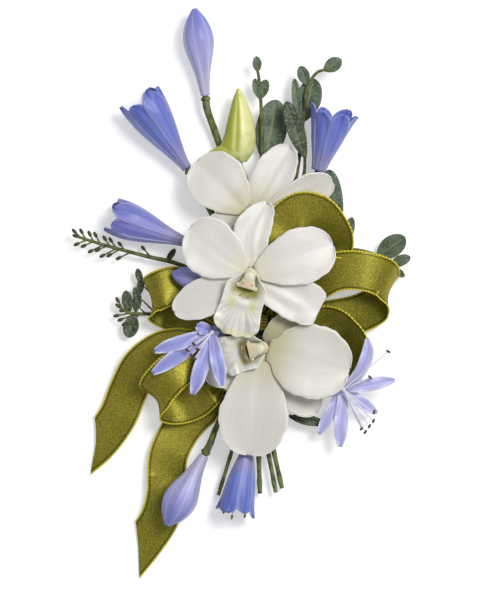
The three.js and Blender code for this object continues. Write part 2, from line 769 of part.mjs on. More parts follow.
const stars = [
  {
    name: "left_star",
    stamenBowShare: 0.0278,
    stamenRiseShare: 0.0611,
    throatShares: [-0.051, -0.061, 0.48],
    baseShares: [-0.034, -0.061, 0.3],
    side: "left",
    sideShares: [-0.069, 0.15],
    lobes: [
      { toShares: [-0.15, -0.093, 0.52], widthShare: 0.022, archShare: 0.0833 },
      { toShares: [-0.153, -0.131, 0.49], widthShare: 0.0237, archShare: 0.0833 },
      { toShares: [-0.084, -0.167, 0.6], widthShare: 0.0237, archShare: 0.1111 },
      { toShares: [-0.034, -0.152, 0.64], widthShare: 0.022, archShare: 0.1389 },
      { toShares: [-0.078, -0.05, 0.54], widthShare: 0.0204, archShare: 0.0556 },
    ],
    stamenTipShares: [
      [-0.093, -0.092, 0.62],
      [-0.082, -0.081, 0.66],
      [-0.075, -0.09, 0.66],
      [-0.086, -0.1, 0.63],
      [-0.081, -0.106, 0.66],
    ],
  },
  {
    name: "right_star",
    stamenBowShare: 0.0278,
    stamenRiseShare: 0.1028,
    throatShares: [0.173, -0.159, 0.33],
    baseShares: [0.135, -0.166, 0.25],
    side: "right",
    sideShares: [-0.172, 0.17],
    lobes: [
      {
        viaShares: [0.222, -0.12, 0.54],
        toShares: [0.214, -0.072, 0.55], widthShare: 0.0204, archShare: 0.0556,
      },
      { toShares: [0.262, -0.143, 0.36], widthShare: 0.0204, archShare: 0.0833 },
      { toShares: [0.168, -0.258, 0.3], widthShare: 0.022, archShare: 0.0833 },
      { toShares: [0.132, -0.236, 0.26], widthShare: 0.0188, archShare: 0.0556 },
      { toShares: [0.232, -0.2, 0.22], widthShare: 0.0188, archShare: 0.0556 },
    ],
    stamenTipShares: [
      [0.211, -0.232, 0.42],
      [0.225, -0.213, 0.42],
      [0.226, -0.198, 0.44],
      [0.219, -0.138, 0.47],
    ],
  },
];

// A stem from its flower through its places, ending squarely at the bundle.
function floretStem(floret, start, behind) {
  const points = [start, behind, ...(floret.viaShares ?? []).map(place)];
  if (floret.slot) {
    const slot = topSlot(...floret.slot);
    points.push(slot.clone().add(new THREE.Vector3(0, stemApproach, 0)), slot);
  }
  if (floret.side) points.push(...sideSeat(floret.side, floret.sideShares, stemApproach));
  if (floret.bottomColumn) points.push(...bottomSlot(floret.bottomColumn, floretStemRadius));
  const radiusAt = (along) => mix(floretNeckRadius, floretStemRadius, Math.min(2 * along, 1));
  const tube = taper(points, radiusAt, points.length + 2, 6);
  return floret.nods ? joined([tube, ball(hingeRadius, start, 8)]) : tube;
}

function addFloret(floret) {
  const group = new THREE.Group();
  group.position.copy(place(floret.placeShares));
  group.rotation.set(0, radians(-floret.riseDeg), radians(floret.headingDeg), "ZYX");
  corsage.add(group);
  const bloom = floret.kind === "bud" ? closedBud(floret) : trumpet(floret);
  const colour = floret.kind === "bud" ? colours.bloomPale : colours.bloom;
  const backOff = floret.nods ? hingeRadius + clearance : clearance;
  corsage.updateMatrixWorld(true);
  const start = group.localToWorld(new THREE.Vector3(-backOff, 0, 0));
  const behind = group.localToWorld(new THREE.Vector3(-backOff - neckLength, 0, 0));
  if (floret.whole) {
    const inside = group.localToWorld(new THREE.Vector3(bloomWall, 0, 0));
    const inPlace = bloom.clone().applyMatrix4(group.matrixWorld);
    addPiece(floret.name, joined([inPlace, floretStem(floret, inside, behind)]), colour);
    return;
  }
  addPiece(floret.name, bloom, colour, group);
  addPiece(`${floret.name}_stem`, floretStem(floret, start, behind), colours.stem);
}

function addStar(star) {
  const throat = place(star.throatShares);
  const base = place(star.baseShares);
  const tube = taper([base, base.clone().lerp(throat, 0.5), throat], through(starTubeRadii), 3, 8);
  const lobes = star.lobes.map((lobe) => strap({ ...lobe, fromShares: star.throatShares }));
  addPiece(star.name, joined([tube, ...lobes]), colours.bloom);
  const ahead = throat.clone().sub(base).normalize();
  const back = base.clone().addScaledVector(ahead, -clearance);
  const behind = back.clone().addScaledVector(ahead, -neckLength);
  addPiece(`${star.name}_stem`, floretStem(star, back, behind), colours.stem);
  const foot = throat.clone().add(new THREE.Vector3(0, 0, risen(star.stamenRiseShare)));
  const stamens = [ball(stamenFootRadius, foot, 8)];
  for (const tipShares of star.stamenTipShares) {
    const tip = place(tipShares);
    const bow = foot.clone().lerp(tip, 0.5);
    bow.z += risen(star.stamenBowShare);
    stamens.push(taper([foot, bow, tip], () => filamentRadius, 3, 4));
    stamens.push(bead(antherRadius, tip));
  }
  addPiece(`${star.name}_stamens`, joined(stamens), colours.anther);
}

// The ribbon bow: loops and tails of one satin ribbon, gathered where they are bound

const knotRadii = { x: 7, y: 4.6, z: 2.2 };
const wireRadius = 0.4;
const knotUpShare = -0.044;
const gatheredLength = 3; // a gathered end runs straight this far
const pleatShare = 0.083; // of the ribbon's width, the height of the pleats at a gathered end
const ribbonSteps = 16;
const ringHeight = knotRadii.z + clearance + wireRadius;
const knotMiddle = new THREE.Vector3(
  bundleCentre.x,
  knotUpShare * sprayLength,
  tapeOuterHeight + 2 * clearance + ringHeight + wireRadius,
);

// Each station of a ribbon: its place, the way across the ribbon in the plan, and that way's lean.
const ribbons = [
  {
    name: "upper_right_loop",
    from: { knotDeg: 60, acrossDeg: 150 },
    to: { side: "right", sideShares: [-0.042, 0.17], acrossDeg: 90 },
    stations: [
      { placeShares: [0.056, 0.045, 0.45], acrossDeg: 158, leanDeg: 0 },
      { placeShares: [0.061, 0.083, 0.5], acrossDeg: 146, leanDeg: 2 },
      { placeShares: [0.07, 0.12, 0.5], acrossDeg: 128, leanDeg: 4 },
      { placeShares: [0.099, 0.145, 0.52], acrossDeg: 106, leanDeg: 10 },
      { placeShares: [0.13, 0.146, 0.5], acrossDeg: 92, leanDeg: 30 },
      { placeShares: [0.154, 0.128, 0.44], acrossDeg: 78, leanDeg: 56 },
      { placeShares: [0.171, 0.104, 0.38], acrossDeg: 62, leanDeg: 70 },
      { placeShares: [0.163, 0.083, 0.3], acrossDeg: 62, leanDeg: 54 },
      { placeShares: [0.137, 0.073, 0.23], acrossDeg: 84, leanDeg: 28 },
      { placeShares: [0.105, 0.045, 0.2], acrossDeg: 112, leanDeg: 8 },
    ],
  },
  {
    name: "right_loop",
    from: { knotDeg: -20, acrossDeg: 70 },
    to: { side: "right", sideShares: [-0.067, 0.1], acrossDeg: 90 },
    stations: [
      { placeShares: [0.1, 0.002, 0.34], acrossDeg: 106, leanDeg: 0 },
      { placeShares: [0.16, 0.042, 0.46], acrossDeg: 94, leanDeg: 0 },
      { placeShares: [0.215, 0.043, 0.48], acrossDeg: 84, leanDeg: 2 },
      { placeShares: [0.252, 0.026, 0.38], acrossDeg: 68, leanDeg: 4 },
      { placeShares: [0.256, -0.004, 0.26], acrossDeg: 62, leanDeg: 6 },
      { placeShares: [0.228, -0.029, 0.16], acrossDeg: 74, leanDeg: 6 },
      { placeShares: [0.168, -0.037, 0.1], acrossDeg: 86, leanDeg: 4 },
      { placeShares: [0.11, -0.048, 0.08], acrossDeg: 92, leanDeg: 0 },
    ],
  },
  {
    name: "lower_right_loop",
    from: { side: "right", sideShares: [-0.094, 0.17], acrossDeg: 90 },
    to: { side: "right", sideShares: [-0.12, 0.12], acrossDeg: -90 },
    stations: [
      { placeShares: [0.095, -0.072, 0.23], acrossDeg: 104, leanDeg: 0 },
      { placeShares: [0.145, -0.048, 0.27], acrossDeg: 84, leanDeg: 18 },
      { placeShares: [0.18, -0.058, 0.31], acrossDeg: 44, leanDeg: 52 },
      { placeShares: [0.195, -0.092, 0.29], acrossDeg: 8, leanDeg: 44 },
      { placeShares: [0.18, -0.112, 0.22], acrossDeg: -30, leanDeg: 36 },
      { placeShares: [0.145, -0.116, 0.14], acrossDeg: -76, leanDeg: 14 },
      { placeShares: [0.1, -0.116, 0.1], acrossDeg: -94, leanDeg: 2 },
    ],
  },
  {
    name: "left_loop",
    from: { knotDeg: 180, acrossDeg: 90 },
    to: { side: "left", sideShares: [-0.039, 0.15], acrossDeg: 90 },
    stations: [
      { placeShares: [-0.052, -0.004, 0.21], acrossDeg: 78, leanDeg: 0 },
      { placeShares: [-0.09, 0.014, 0.26], acrossDeg: 90, leanDeg: 0 },
      { placeShares: [-0.12, 0.018, 0.32], acrossDeg: 99, leanDeg: -2 },
      { placeShares: [-0.144, 0.01, 0.33], acrossDeg: 104, leanDeg: -4 },
      { placeShares: [-0.156, 0.001, 0.26], acrossDeg: 105, leanDeg: -5 },
      { placeShares: [-0.151, -0.01, 0.17], acrossDeg: 105, leanDeg: -5 },
      { placeShares: [-0.13, -0.022, 0.13], acrossDeg: 102, leanDeg: -4 },
      { placeShares: [-0.096, -0.03, 0.12], acrossDeg: 94, leanDeg: 0 },
    ],
  },
  {
    name: "lower_left_loop",
    from: { side: "left", sideShares: [-0.112, 0.185], acrossDeg: 90 },
    to: { side: "left", sideShares: [-0.134, 0.17], acrossDeg: 90 },
    stations: [
      { placeShares: [-0.058, -0.102, 0.3], acrossDeg: 100, leanDeg: 0 },
      { placeShares: [-0.106, -0.116, 0.43], acrossDeg: 130, leanDeg: -2 },
      { placeShares: [-0.137, -0.149, 0.46], acrossDeg: 137, leanDeg: 0 },
      { placeShares: [-0.152, -0.167, 0.4], acrossDeg: 139, leanDeg: 0 },
      { placeShares: [-0.153, -0.179, 0.31], acrossDeg: 139, leanDeg: 0 },
      { placeShares: [-0.138, -0.186, 0.25], acrossDeg: 134, leanDeg: 2 },
      { placeShares: [-0.112, -0.186, 0.18], acrossDeg: 120, leanDeg: 4 },
      { placeShares: [-0.085, -0.183, 0.19], acrossDeg: 98, leanDeg: 4 },
      { placeShares: [-0.058, -0.155, 0.22], acrossDeg: 82, leanDeg: 2 },
    ],
  },
  {
    name: "left_tail",
    cutLengthShare: 0.0776,
    from: { side: "left", sideShares: [-0.106, 0.09], acrossDeg: 90 },
    stations: [
      { placeShares: [-0.054, -0.108, 0.14], acrossDeg: 94, leanDeg: 0 },
      { placeShares: [-0.086, -0.091, 0.25], acrossDeg: 104, leanDeg: 0 },
      { placeShares: [-0.13, -0.09, 0.25], acrossDeg: 120, leanDeg: 0 },
      { placeShares: [-0.172, -0.118, 0.21], acrossDeg: 136, leanDeg: -3 },
      { placeShares: [-0.195, -0.16, 0.095], acrossDeg: 152, leanDeg: -3 },
      { placeShares: [-0.214, -0.206, 0.085], acrossDeg: 148, leanDeg: -6 },
      { placeShares: [-0.246, -0.25, 0.06], acrossDeg: 132, leanDeg: -4 },
      { placeShares: [-0.282, -0.281, 0.02], acrossDeg: 126, leanDeg: 0 },
    ],
  },
  {
    name: "lower_tail",
    cutLengthShare: 0.0735,
    from: { side: "left", sideShares: [-0.175, 0.1], acrossDeg: 90 },
    stations: [
      { placeShares: [-0.07, -0.192, 0.08], acrossDeg: 124, leanDeg: 0 },
      { placeShares: [-0.104, -0.228, 0.08], acrossDeg: 148, leanDeg: 0 },
      { placeShares: [-0.126, -0.272, 0.1], acrossDeg: 162, leanDeg: 4 },
      { placeShares: [-0.13, -0.31, 0.085], acrossDeg: 176, leanDeg: 12 },
      { placeShares: [-0.131, -0.34, 0.08], acrossDeg: 174, leanDeg: 10 },
      { placeShares: [-0.142, -0.382, 0.06], acrossDeg: 160, leanDeg: 5 },
      { placeShares: [-0.168, -0.422, 0.035], acrossDeg: 142, leanDeg: 0 },
      { placeShares: [-0.202, -0.464, 0.02], acrossDeg: 134, leanDeg: 0 },
    ],
  },
];

// Share of its width that a ribbon has opened to, this far from its gathered end.
function opened(distance) {
  const share = Math.min(distance / tieLength, 1);
  return mix(gatheredShare, 1, share * share * (3 - 2 * share));
}

// The two stations of a gathered end, seat first, at the tape's side or at the knot.
function gatheredEnd({ side, sideShares, knotDeg, acrossDeg }) {
  let ends;
  if (side) {
    ends = sideSeat(side, sideShares, gatheredLength).reverse();
  } else {
    const turn = radians(knotDeg);
    const out = new THREE.Vector3(knotRadii.x * Math.cos(turn), knotRadii.y * Math.sin(turn), 0);
    const ahead = new THREE.Vector3(Math.cos(turn), Math.sin(turn), 0);
    const seat = knotMiddle.clone().add(out).addScaledVector(ahead, stemSeat);
    ends = [seat, seat.clone().addScaledVector(ahead, gatheredLength)];
  }
  return ends.map((at) => ({ at, acrossDeg, leanDeg: 0 }));
}

function ribbonSheet(ribbon) {
  const stations = [
    ...gatheredEnd(ribbon.from),
    ...ribbon.stations.map((station) => ({ ...station, at: place(station.placeShares) })),
  ];
  if (ribbon.to) stations.push(...gatheredEnd(ribbon.to).reverse());
  const path = new THREE.CatmullRomCurve3(stations.map((station) => station.at));
  const length = path.getLength();
  const last = stations.length - 1;
  const tail = ribbon.cutLengthShare !== undefined;
  const acrossAt = (spot) => {
    const before = Math.min(Math.floor(spot), last - 1);
    const [from, to] = [stations[before], stations[before + 1]];
    const turn = radians(mix(from.acrossDeg, to.acrossDeg, spot - before));
    const lean = radians(mix(from.leanDeg, to.leanDeg, spot - before));
    return new THREE.Vector3(
      Math.cos(turn) * Math.cos(lean),
      Math.sin(turn) * Math.cos(lean),
      Math.sin(lean),
    );
  };
  const pointAt = (along, across) => {
    const cut = tail ? (spread(ribbon.cutLengthShare) / length) * (1 + across) * 0.5 : 0;
    const share = along * (1 - cut);
    const spot = path.getUtoTmapping(share) * last;
    const tangent = path.getTangentAt(share);
    const side = acrossAt(spot);
    side.addScaledVector(tangent, -side.dot(tangent)).normalize();
    const up = tangent.clone().cross(side);
    const toEnd = tail ? share * length : Math.min(share, 1 - share) * length;
    const open = opened(toEnd);
    const half = (ribbonWidth / 2) * open;
    const pleat = ribbonWidth * pleatShare * Math.sqrt(1 - open ** 2) * Math.cos(2 * Math.PI * across);
    return path.getPointAt(share).addScaledVector(side, half * across).addScaledVector(up, pleat);
  };
  return sheet(pointAt, ribbonSteps, 4, ribbonThickness);
}

function addBow() {
  const middle = knotMiddle;
  const knot = new THREE.SphereGeometry(1, 14, 8);
  knot.scale(knotRadii.x, knotRadii.y, knotRadii.z);
  knot.translate(middle.x, middle.y, middle.z);
  addPiece("ribbon_knot", knot, colours.ribbon);
  const wire = new THREE.TorusGeometry(1, wireRadius / ringHeight, 5, 20);
  wire.rotateY(Math.PI / 2);
  wire.scale(ringHeight, knotRadii.y + 2 * clearance + wireRadius, ringHeight + clearance);
  wire.translate(middle.x, middle.y, middle.z);
  addPiece("tie_wire", wire, colours.wire);
  for (const ribbon of ribbons) addPiece(ribbon.name, ribbonSheet(ribbon), colours.ribbon);
}

// Greens

const twigRadius = 0.6;
const stalkletRadius = 0.48; // of a seed or a leaf
const seedRadius = 1.35;
const leafFoldShare = 0.1; // of its width, how far a leaf's edges stand up
const leafOutline = through([0.12, 0.68, 0.95, 1, 0.76, 0.12]);

// A leaf from its foot to its tip, folded a little along its midrib.
function leafSheet({ fromShares, toShares, widthShare, foldShare = leafFoldShare }) {
  const [foot, tip] = [place(fromShares), place(toShares)];
  const ahead = tip.clone().sub(foot).normalize();
  const side = new THREE.Vector3(0, 0, 1).cross(ahead).normalize();
  const up = ahead.clone().cross(side);
  const pointAt = (along, across) => {
    const half = (spread(widthShare) / 2) * leafOutline(along);
    const lift = foldShare * spread(widthShare) * across ** 2 * leafOutline(along);
    return foot.clone().lerp(tip, along).addScaledVector(side, half * across).addScaledVector(up, lift);
  };
  return sheet(pointAt, 5, 2, leafThickness);
}

const sprigs = [
  {
    name: "eucalyptus_tip_sprig",
    stemShares: [
      [0.022, 0.41, 0.26],
      [0.029, 0.375, 0.25],
      [0.033, 0.32, 0.23],
      [0.034, 0.25, 0.17],
      [0.03, 0.17, 0.13],
    ],
    slot: [1, "low"],
    leaves: [
      { fromShares: [0.027, 0.385, 0.25], toShares: [0.025, 0.412, 0.28], widthShare: 0.0155 },
      { fromShares: [0.029, 0.34, 0.24], toShares: [0.022, 0.374, 0.26], widthShare: 0.0139 },
      { fromShares: [0.03, 0.338, 0.24], toShares: [0.042, 0.372, 0.27], widthShare: 0.0188 },
      {
        fromShares: [0.04, 0.228, 0.12], toShares: [0.059, 0.338, 0.14],
        widthShare: 0.0539, foldShare: 0.04,
      },
    ],
  },
  {
    name: "eucalyptus_right_sprig",
    stemShares: [
      [0.155, 0.39, 0.34],
      [0.13, 0.385, 0.32],
      [0.113, 0.36, 0.28],
      [0.105, 0.3, 0.22],
      [0.092, 0.2, 0.15],
    ],
    slot: [2, "low"],
    leaves: [
      { fromShares: [0.112, 0.362, 0.28], toShares: [0.1, 0.395, 0.3], widthShare: 0.0204 },
      { fromShares: [0.14, 0.387, 0.33], toShares: [0.17, 0.406, 0.36], widthShare: 0.0245 },
      { fromShares: [0.104, 0.3, 0.18], toShares: [0.124, 0.374, 0.22], widthShare: 0.0429 },
      { fromShares: [0.1, 0.29, 0.22], toShares: [0.09, 0.374, 0.24], widthShare: 0.0163 },
    ],
  },
  {
    name: "long_leaf",
    stemShares: [[0.108, 0.25, 0.32], [0.105, 0.205, 0.27], [0.075, 0.15, 0.22]],
    slot: [1, "high"],
    leaves: [
      {
        fromShares: [0.109, 0.236, 0.3], toShares: [0.076, 0.334, 0.36],
        widthShare: 0.0306, foldShare: 0.05,
      },
    ],
  },
  {
    name: "right_leaf_sprig",
    stemShares: [
      [0.27, 0.045, 0.2],
      [0.235, 0.07, 0.08],
      [0.18, 0.08, 0.06],
      [0.12, 0.05, 0.055],
      [0.075, 0.005, 0.055],
    ],
    side: "right",
    sideShares: [-0.022, 0.07],
    leaves: [
      { fromShares: [0.232, 0.068, 0.12], toShares: [0.28, 0.102, 0.2], widthShare: 0.0367 },
      { fromShares: [0.255, 0.055, 0.16], toShares: [0.289, 0.068, 0.22], widthShare: 0.0188 },
      { fromShares: [0.262, 0.048, 0.14], toShares: [0.279, 0.034, 0.15], widthShare: 0.0122 },
      { fromShares: [0.172, 0.08, 0.06], toShares: [0.19, 0.136, 0.08], widthShare: 0.0204 },
      {
        fromShares: [0.15, 0.075, 0.05], toShares: [0.15, 0.218, 0.1],
        widthShare: 0.049, foldShare: 0.03,
      },
    ],
  },
  {
    name: "lower_right_leaf",
    stemShares: [[0.085, -0.206, 0.17]],
    side: "right",
    sideShares: [-0.202, 0.15],
    leaves: [{ fromShares: [0.08, -0.206, 0.17], toShares: [0.142, -0.218, 0.2], widthShare: 0.0184 }],
  },
];

const seedSprigs = [
  {
    name: "seeded_sprig_upper",
    stemShares: [
      [-0.286, 0.104, 0.2],
      [-0.235, 0.088, 0.19],
      [-0.163, 0.069, 0.15],
      [-0.113, 0.057, 0.11],
      [-0.06, 0.03, 0.09],
    ],
    side: "left",
    sideShares: [-0.0175, 0.08],
    seedShares: [
      [-0.286, 0.104, 0.2],
      [-0.281, 0.112, 0.21],
      [-0.262, 0.111, 0.2],
      [-0.27, 0.084, 0.19],
      [-0.262, 0.08, 0.19],
      [-0.243, 0.104, 0.2],
      [-0.214, 0.09, 0.13],
      [-0.228, 0.068, 0.18],
      [-0.216, 0.07, 0.18],
      [-0.17, 0.083, 0.08],
    ],
    leaves: [{ fromShares: [-0.13, 0.06, 0.12], toShares: [-0.115, 0.082, 0.14], widthShare: 0.0106 }],
  },
  {
    name: "seeded_sprig_lower",
    stemShares: [
      [-0.213, -0.016, 0.16],
      [-0.194, -0.028, 0.14],
      [-0.161, -0.03, 0.06],
      [-0.1, -0.03, 0.05],
    ],
    side: "left",
    sideShares: [-0.0285, 0.06],
    seedShares: [
      [-0.213, -0.016, 0.16],
      [-0.216, -0.033, 0.15],
      [-0.202, -0.047, 0.14],
    ],
    leaves: [
      { fromShares: [-0.194, -0.028, 0.14], toShares: [-0.2, 0.01, 0.17], widthShare: 0.0188 },
      { fromShares: [-0.183, -0.028, 0.09], toShares: [-0.18, 0.005, 0.1], widthShare: 0.0147 },
      { fromShares: [-0.185, -0.03, 0.12], toShares: [-0.196, -0.07, 0.13], widthShare: 0.0265 },
    ],
  },
];

// A stalk to a place from the nearest point of the stem, if the place stands clear of it.
function twigTo(stem, tip) {
  const near = stem.getSpacedPoints(60).reduce((a, b) => (b.distanceTo(tip) < a.distanceTo(tip) ? b : a));
  if (near.distanceTo(tip) < twigRadius) return [];
  return [taper([near, near.clone().lerp(tip, 0.5), tip], () => stalkletRadius, 1, 3)];
}

function addSprig(sprig) {
  const points = sprig.stemShares.map(place);
  if (sprig.slot) {
    const slot = topSlot(...sprig.slot);
    points.push(slot.clone().add(new THREE.Vector3(0, stemApproach, 0)), slot);
  } else {
    points.push(...sideSeat(sprig.side, sprig.sideShares, stemApproach));
  }
  const solids = [taper(points, (along) => mix(twigRadius, 2 * twigRadius, along), points.length + 1, 5)];
  const stem = new THREE.CatmullRomCurve3(points);
  for (const leaf of sprig.leaves) solids.push(leafSheet(leaf), ...twigTo(stem, place(leaf.fromShares)));
  for (const seed of sprig.seedShares ?? []) {
    solids.push(bead(seedRadius, place(seed)), ...twigTo(stem, place(seed)));
  }
  addPiece(sprig.name, joined(solids), sprig.seedShares ? colours.seeded : colours.leaf);
}

for (const orchid of orchids) addOrchid(orchid);
addOrchidBud();
addBundle();
for (const floret of florets) addFloret(floret);
for (const star of stars) addStar(star);
addBow();
for (const sprig of [...sprigs, ...seedSprigs]) addSprig(sprig);

// The frame: the origin is below the middle, on the table.
const bounds = new THREE.Box3().setFromObject(corsage, true);
const middle = bounds.getCenter(new THREE.Vector3());
corsage.position.set(-middle.x, -middle.y, -bounds.min.z);

export default corsage;
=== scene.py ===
# %% [markdown]
# A wired corsage of orchids, agapanthus, eucalyptus and satin ribbon, lying on its back on white card.
# The engineering model gives every body and place. This lesson dresses it, one kind of piece at a time,
# in metres and in the same frame, so that each petal and ribbon sits where its solid sits.

import bpy
import numpy as np
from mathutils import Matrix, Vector
from numpy import array, cos, exp, linspace, pi, radians, sin


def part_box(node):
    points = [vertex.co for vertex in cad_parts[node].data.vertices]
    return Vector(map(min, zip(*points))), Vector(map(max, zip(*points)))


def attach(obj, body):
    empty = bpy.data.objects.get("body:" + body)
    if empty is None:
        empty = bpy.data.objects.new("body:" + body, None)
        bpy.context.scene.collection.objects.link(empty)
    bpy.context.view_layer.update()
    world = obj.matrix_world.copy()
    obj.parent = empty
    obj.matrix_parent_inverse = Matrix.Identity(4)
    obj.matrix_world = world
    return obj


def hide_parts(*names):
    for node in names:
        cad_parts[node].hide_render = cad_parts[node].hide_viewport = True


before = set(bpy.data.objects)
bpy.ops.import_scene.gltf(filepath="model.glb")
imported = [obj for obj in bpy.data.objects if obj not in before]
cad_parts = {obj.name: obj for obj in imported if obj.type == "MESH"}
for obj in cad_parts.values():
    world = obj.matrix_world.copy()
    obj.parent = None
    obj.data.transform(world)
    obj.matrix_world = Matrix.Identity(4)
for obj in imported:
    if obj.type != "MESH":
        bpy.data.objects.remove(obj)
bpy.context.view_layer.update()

# %% [markdown]
# The solids are laid out in shares: the first two numbers of a place are shares of the spray's length, the
# third is a share of its depth. The tape round the stems tells where that layout stands in the frame.

# %% Shares into metres
MM = 0.001
SPRAY_LENGTH, SPRAY_DEPTH = 245 * MM, 36 * MM
CLEARANCE = 0.3 * MM
BUNDLE_AT = (0.02 * SPRAY_LENGTH, -0.117 * SPRAY_LENGTH)
tape_low, tape_high = (array(corner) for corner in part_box("binding_tape"))
tape_middle = (tape_low + tape_high) / 2
LAYOUT_SHIFT = array([tape_middle[0] - BUNDLE_AT[0], tape_middle[1] - BUNDLE_AT[1], 0.0])


def place(shares):
    """A point of the frame from its shares."""
    return array(shares) * [SPRAY_LENGTH, SPRAY_LENGTH, SPRAY_DEPTH] + LAYOUT_SHIFT


print("layout stands at", np.round(LAYOUT_SHIFT / MM, 3), "mm")

# %% [markdown]
# The photograph looks straight down, with the stems' ends at the bottom. A long lens from two metres up keeps
# the flowers' heights from changing their outlines. The lens follows from how much of the card is in view.

# %% Camera
VIEW_LENGTH = 0.252  # of card, along the picture's long side
VIEW_MIDDLE = (-0.00072, -0.00277)
CAMERA_HEIGHT, SUBJECT_HEIGHT = 2.0, 0.012
SENSOR_LONG_SIDE = 36.0

scene = bpy.context.scene
camera_data = bpy.data.cameras.new("overhead_camera")
camera_data.sensor_width = SENSOR_LONG_SIDE
camera_data.lens = SENSOR_LONG_SIDE * (CAMERA_HEIGHT - SUBJECT_HEIGHT) / VIEW_LENGTH
camera = bpy.data.objects.new("overhead_camera", camera_data)
camera.location = (*VIEW_MIDDLE, CAMERA_HEIGHT)
scene.collection.objects.link(camera)
scene.camera = camera
print("lens", round(camera_data.lens, 1), "mm")

# %% [markdown]
# The light is one large soft box high on the right, with a paler fill all round. Together they are about as
# bright as daylight on card, so that a colour renders as it is written.

# %% Light
KEY_POWER, KEY_SIZE, KEY_PLACE = 8.0, 0.4, (0.42, 0.34, 0.95)
FILL_LEVEL = 0.40

lamp_data = bpy.data.lights.new("key_soft_box", "AREA")
lamp_data.energy = KEY_POWER
lamp_data.size = KEY_SIZE
lamp = bpy.data.objects.new("key_soft_box", lamp_data)
lamp.location = KEY_PLACE
lamp.rotation_euler = (-Vector(KEY_PLACE)).to_track_quat("-Z", "Y").to_euler()
scene.collection.objects.link(lamp)
scene.view_settings.view_transform = "Standard"
scene.world = bpy.data.worlds.new("studio")
scene.world.use_nodes = True
fill = scene.world.node_tree.nodes["Background"].inputs
fill["Strength"].default_value = FILL_LEVEL
fill["Color"].default_value = (1, 1, 1, 1)
print("key", KEY_POWER, "W, fill", FILL_LEVEL)

# %% [markdown]
# Materials are graphs of nodes. A few short helpers keep them readable: each makes one node and returns its
# output, and coats of colour build up one skin, as a painter would. Colours are typed as they look on screen
# and turned into the light values that the renderer adds up.

# %% Helpers for finishes


def tone(red, green, blue):
    """A screen colour as linear light."""
    linear = [c / 12.92 if c <= 0.04045 else ((c + 0.055) / 1.055) ** 2.4 for c in (red, green, blue)]
    return (*linear, 1.0)


class Finish:
    """One material: its nodes, its skin of coats and its relief."""

    def __init__(self, name, colour, **sockets):
        self.material = bpy.data.materials.new(name)
        self.material.use_nodes = True
        self.tree = self.material.node_tree
        self.skin = tone(*colour)
        self.under = {}
        self.set(Base_Color=self.skin, **sockets)

    def feed(self, socket, value):
        if isinstance(value, bpy.types.NodeSocket):
            self.tree.links.new(value, socket)
        else:
            socket.default_value = value

    def set(self, **sockets):
        """Values or links for the shader, each by its socket's name."""
        for socket, value in sockets.items():
            self.feed(self.tree.nodes["Principled BSDF"].inputs[socket.replace("_", " ")], value)

    def node(self, kind, inputs=(), **settings):
        """One node. Its inputs come in order, or by number or name."""
        made = self.tree.nodes.new("ShaderNode" + kind)
        for setting, value in settings.items():
            setattr(made, setting, value)
        for socket, value in inputs.items() if isinstance(inputs, dict) else enumerate(inputs):
            self.feed(made.inputs[socket], value)
        return made

    def math(self, operation, *values):
        return self.node("Math", values, operation=operation).outputs[0]

    def times(self, a, b):
        return self.math("MULTIPLY", a, b)

    def trait(self, name):
        """A number that the mesh carries at each corner."""
        return self.node("Attribute", attribute_name=name).outputs["Fac"]

    def shares(self):
        """How far along a shape, how far across it, and how far from its midline."""
        across = self.trait("across")
        return self.trait("along"), across, self.math("ABSOLUTE", across)

    def noise(self, scale, where=None, detail=2.0):
        where = where or self.node("TexCoord").outputs["Object"]
        return self.node("TexNoise", dict(Vector=where, Scale=scale, Detail=detail)).outputs["Fac"]

    def stretched(self, scale, x, y, detail=2.0):
        """Noise on two numbers of the shape, not on its place."""
        return self.noise(scale, self.node("CombineXYZ", (x, y)).outputs[0], detail)

    def band(self, value, low, high, start=0.0, end=1.0):
        """value from low to high, eased onto start to end."""
        made = self.node("MapRange", (value, low, high, start, end), interpolation_type="SMOOTHSTEP")
        return made.outputs[0]

    def coat(self, share, colour):
        """Lays a colour over the skin, as thick as share says."""
        made = self.node("Mix", {0: share}, data_type="RGBA")
        self.feed(made.inputs[6], self.skin)
        self.feed(made.inputs[7], tone(*colour))
        self.skin = made.outputs[2]
        self.set(Base_Color=self.skin)

    def relief(self, height, depth, strength):
        """Raises the surface by depth millimetres, on top of any relief before."""
        inputs = dict(Strength=strength, Distance=depth * MM, Height=height, **self.under)
        self.under = dict(Normal=self.node("Bump", inputs).outputs["Normal"])
        self.set(**self.under)


def grained(name, light, dark, scale, relief=None, **sockets):
    """Two near tones in a fine grain. relief is a grain's scale, depth and strength."""
    made = Finish(name, light, **sockets)
    made.coat(made.noise(scale), dark)
    if relief:
        made.relief(made.noise(relief[0]), *relief[1:])
    return made


# %% [markdown]
# The card is white in the photograph, with soft grey shadows. Its colour alone would render a little below
# white, so seen by the camera, in gloss or through glass it also gives off a little light of its own.

# %% Card
CARD_SIZE = 6.0
CARD_GLOW = 0.38
CARD_DROP = 0.02 * MM

bpy.ops.mesh.primitive_plane_add(size=CARD_SIZE, location=(0, 0, -CARD_DROP))
card = bpy.context.object
card.name = "card"
card_paint = Finish("card_paint", (0.95, 0.95, 0.95), Roughness=0.9, Specular_IOR_Level=0.0,
                    Emission_Color=(1, 1, 1, 1))
paths = card_paint.node("LightPath").outputs
seen = card_paint.math("MAXIMUM", paths["Is Camera Ray"], paths["Is Glossy Ray"])
seen = card_paint.math("MAXIMUM", seen, paths["Is Transmission Ray"])
card_paint.set(Emission_Strength=card_paint.times(seen, CARD_GLOW))
card.data.materials.append(card_paint.material)
print("card", CARD_SIZE, "m")

# %% [markdown]
# A few rules are used all through: turning points, a soft bulge, and smooth curves through a row of values or
# of places.

# %% Rules of shape


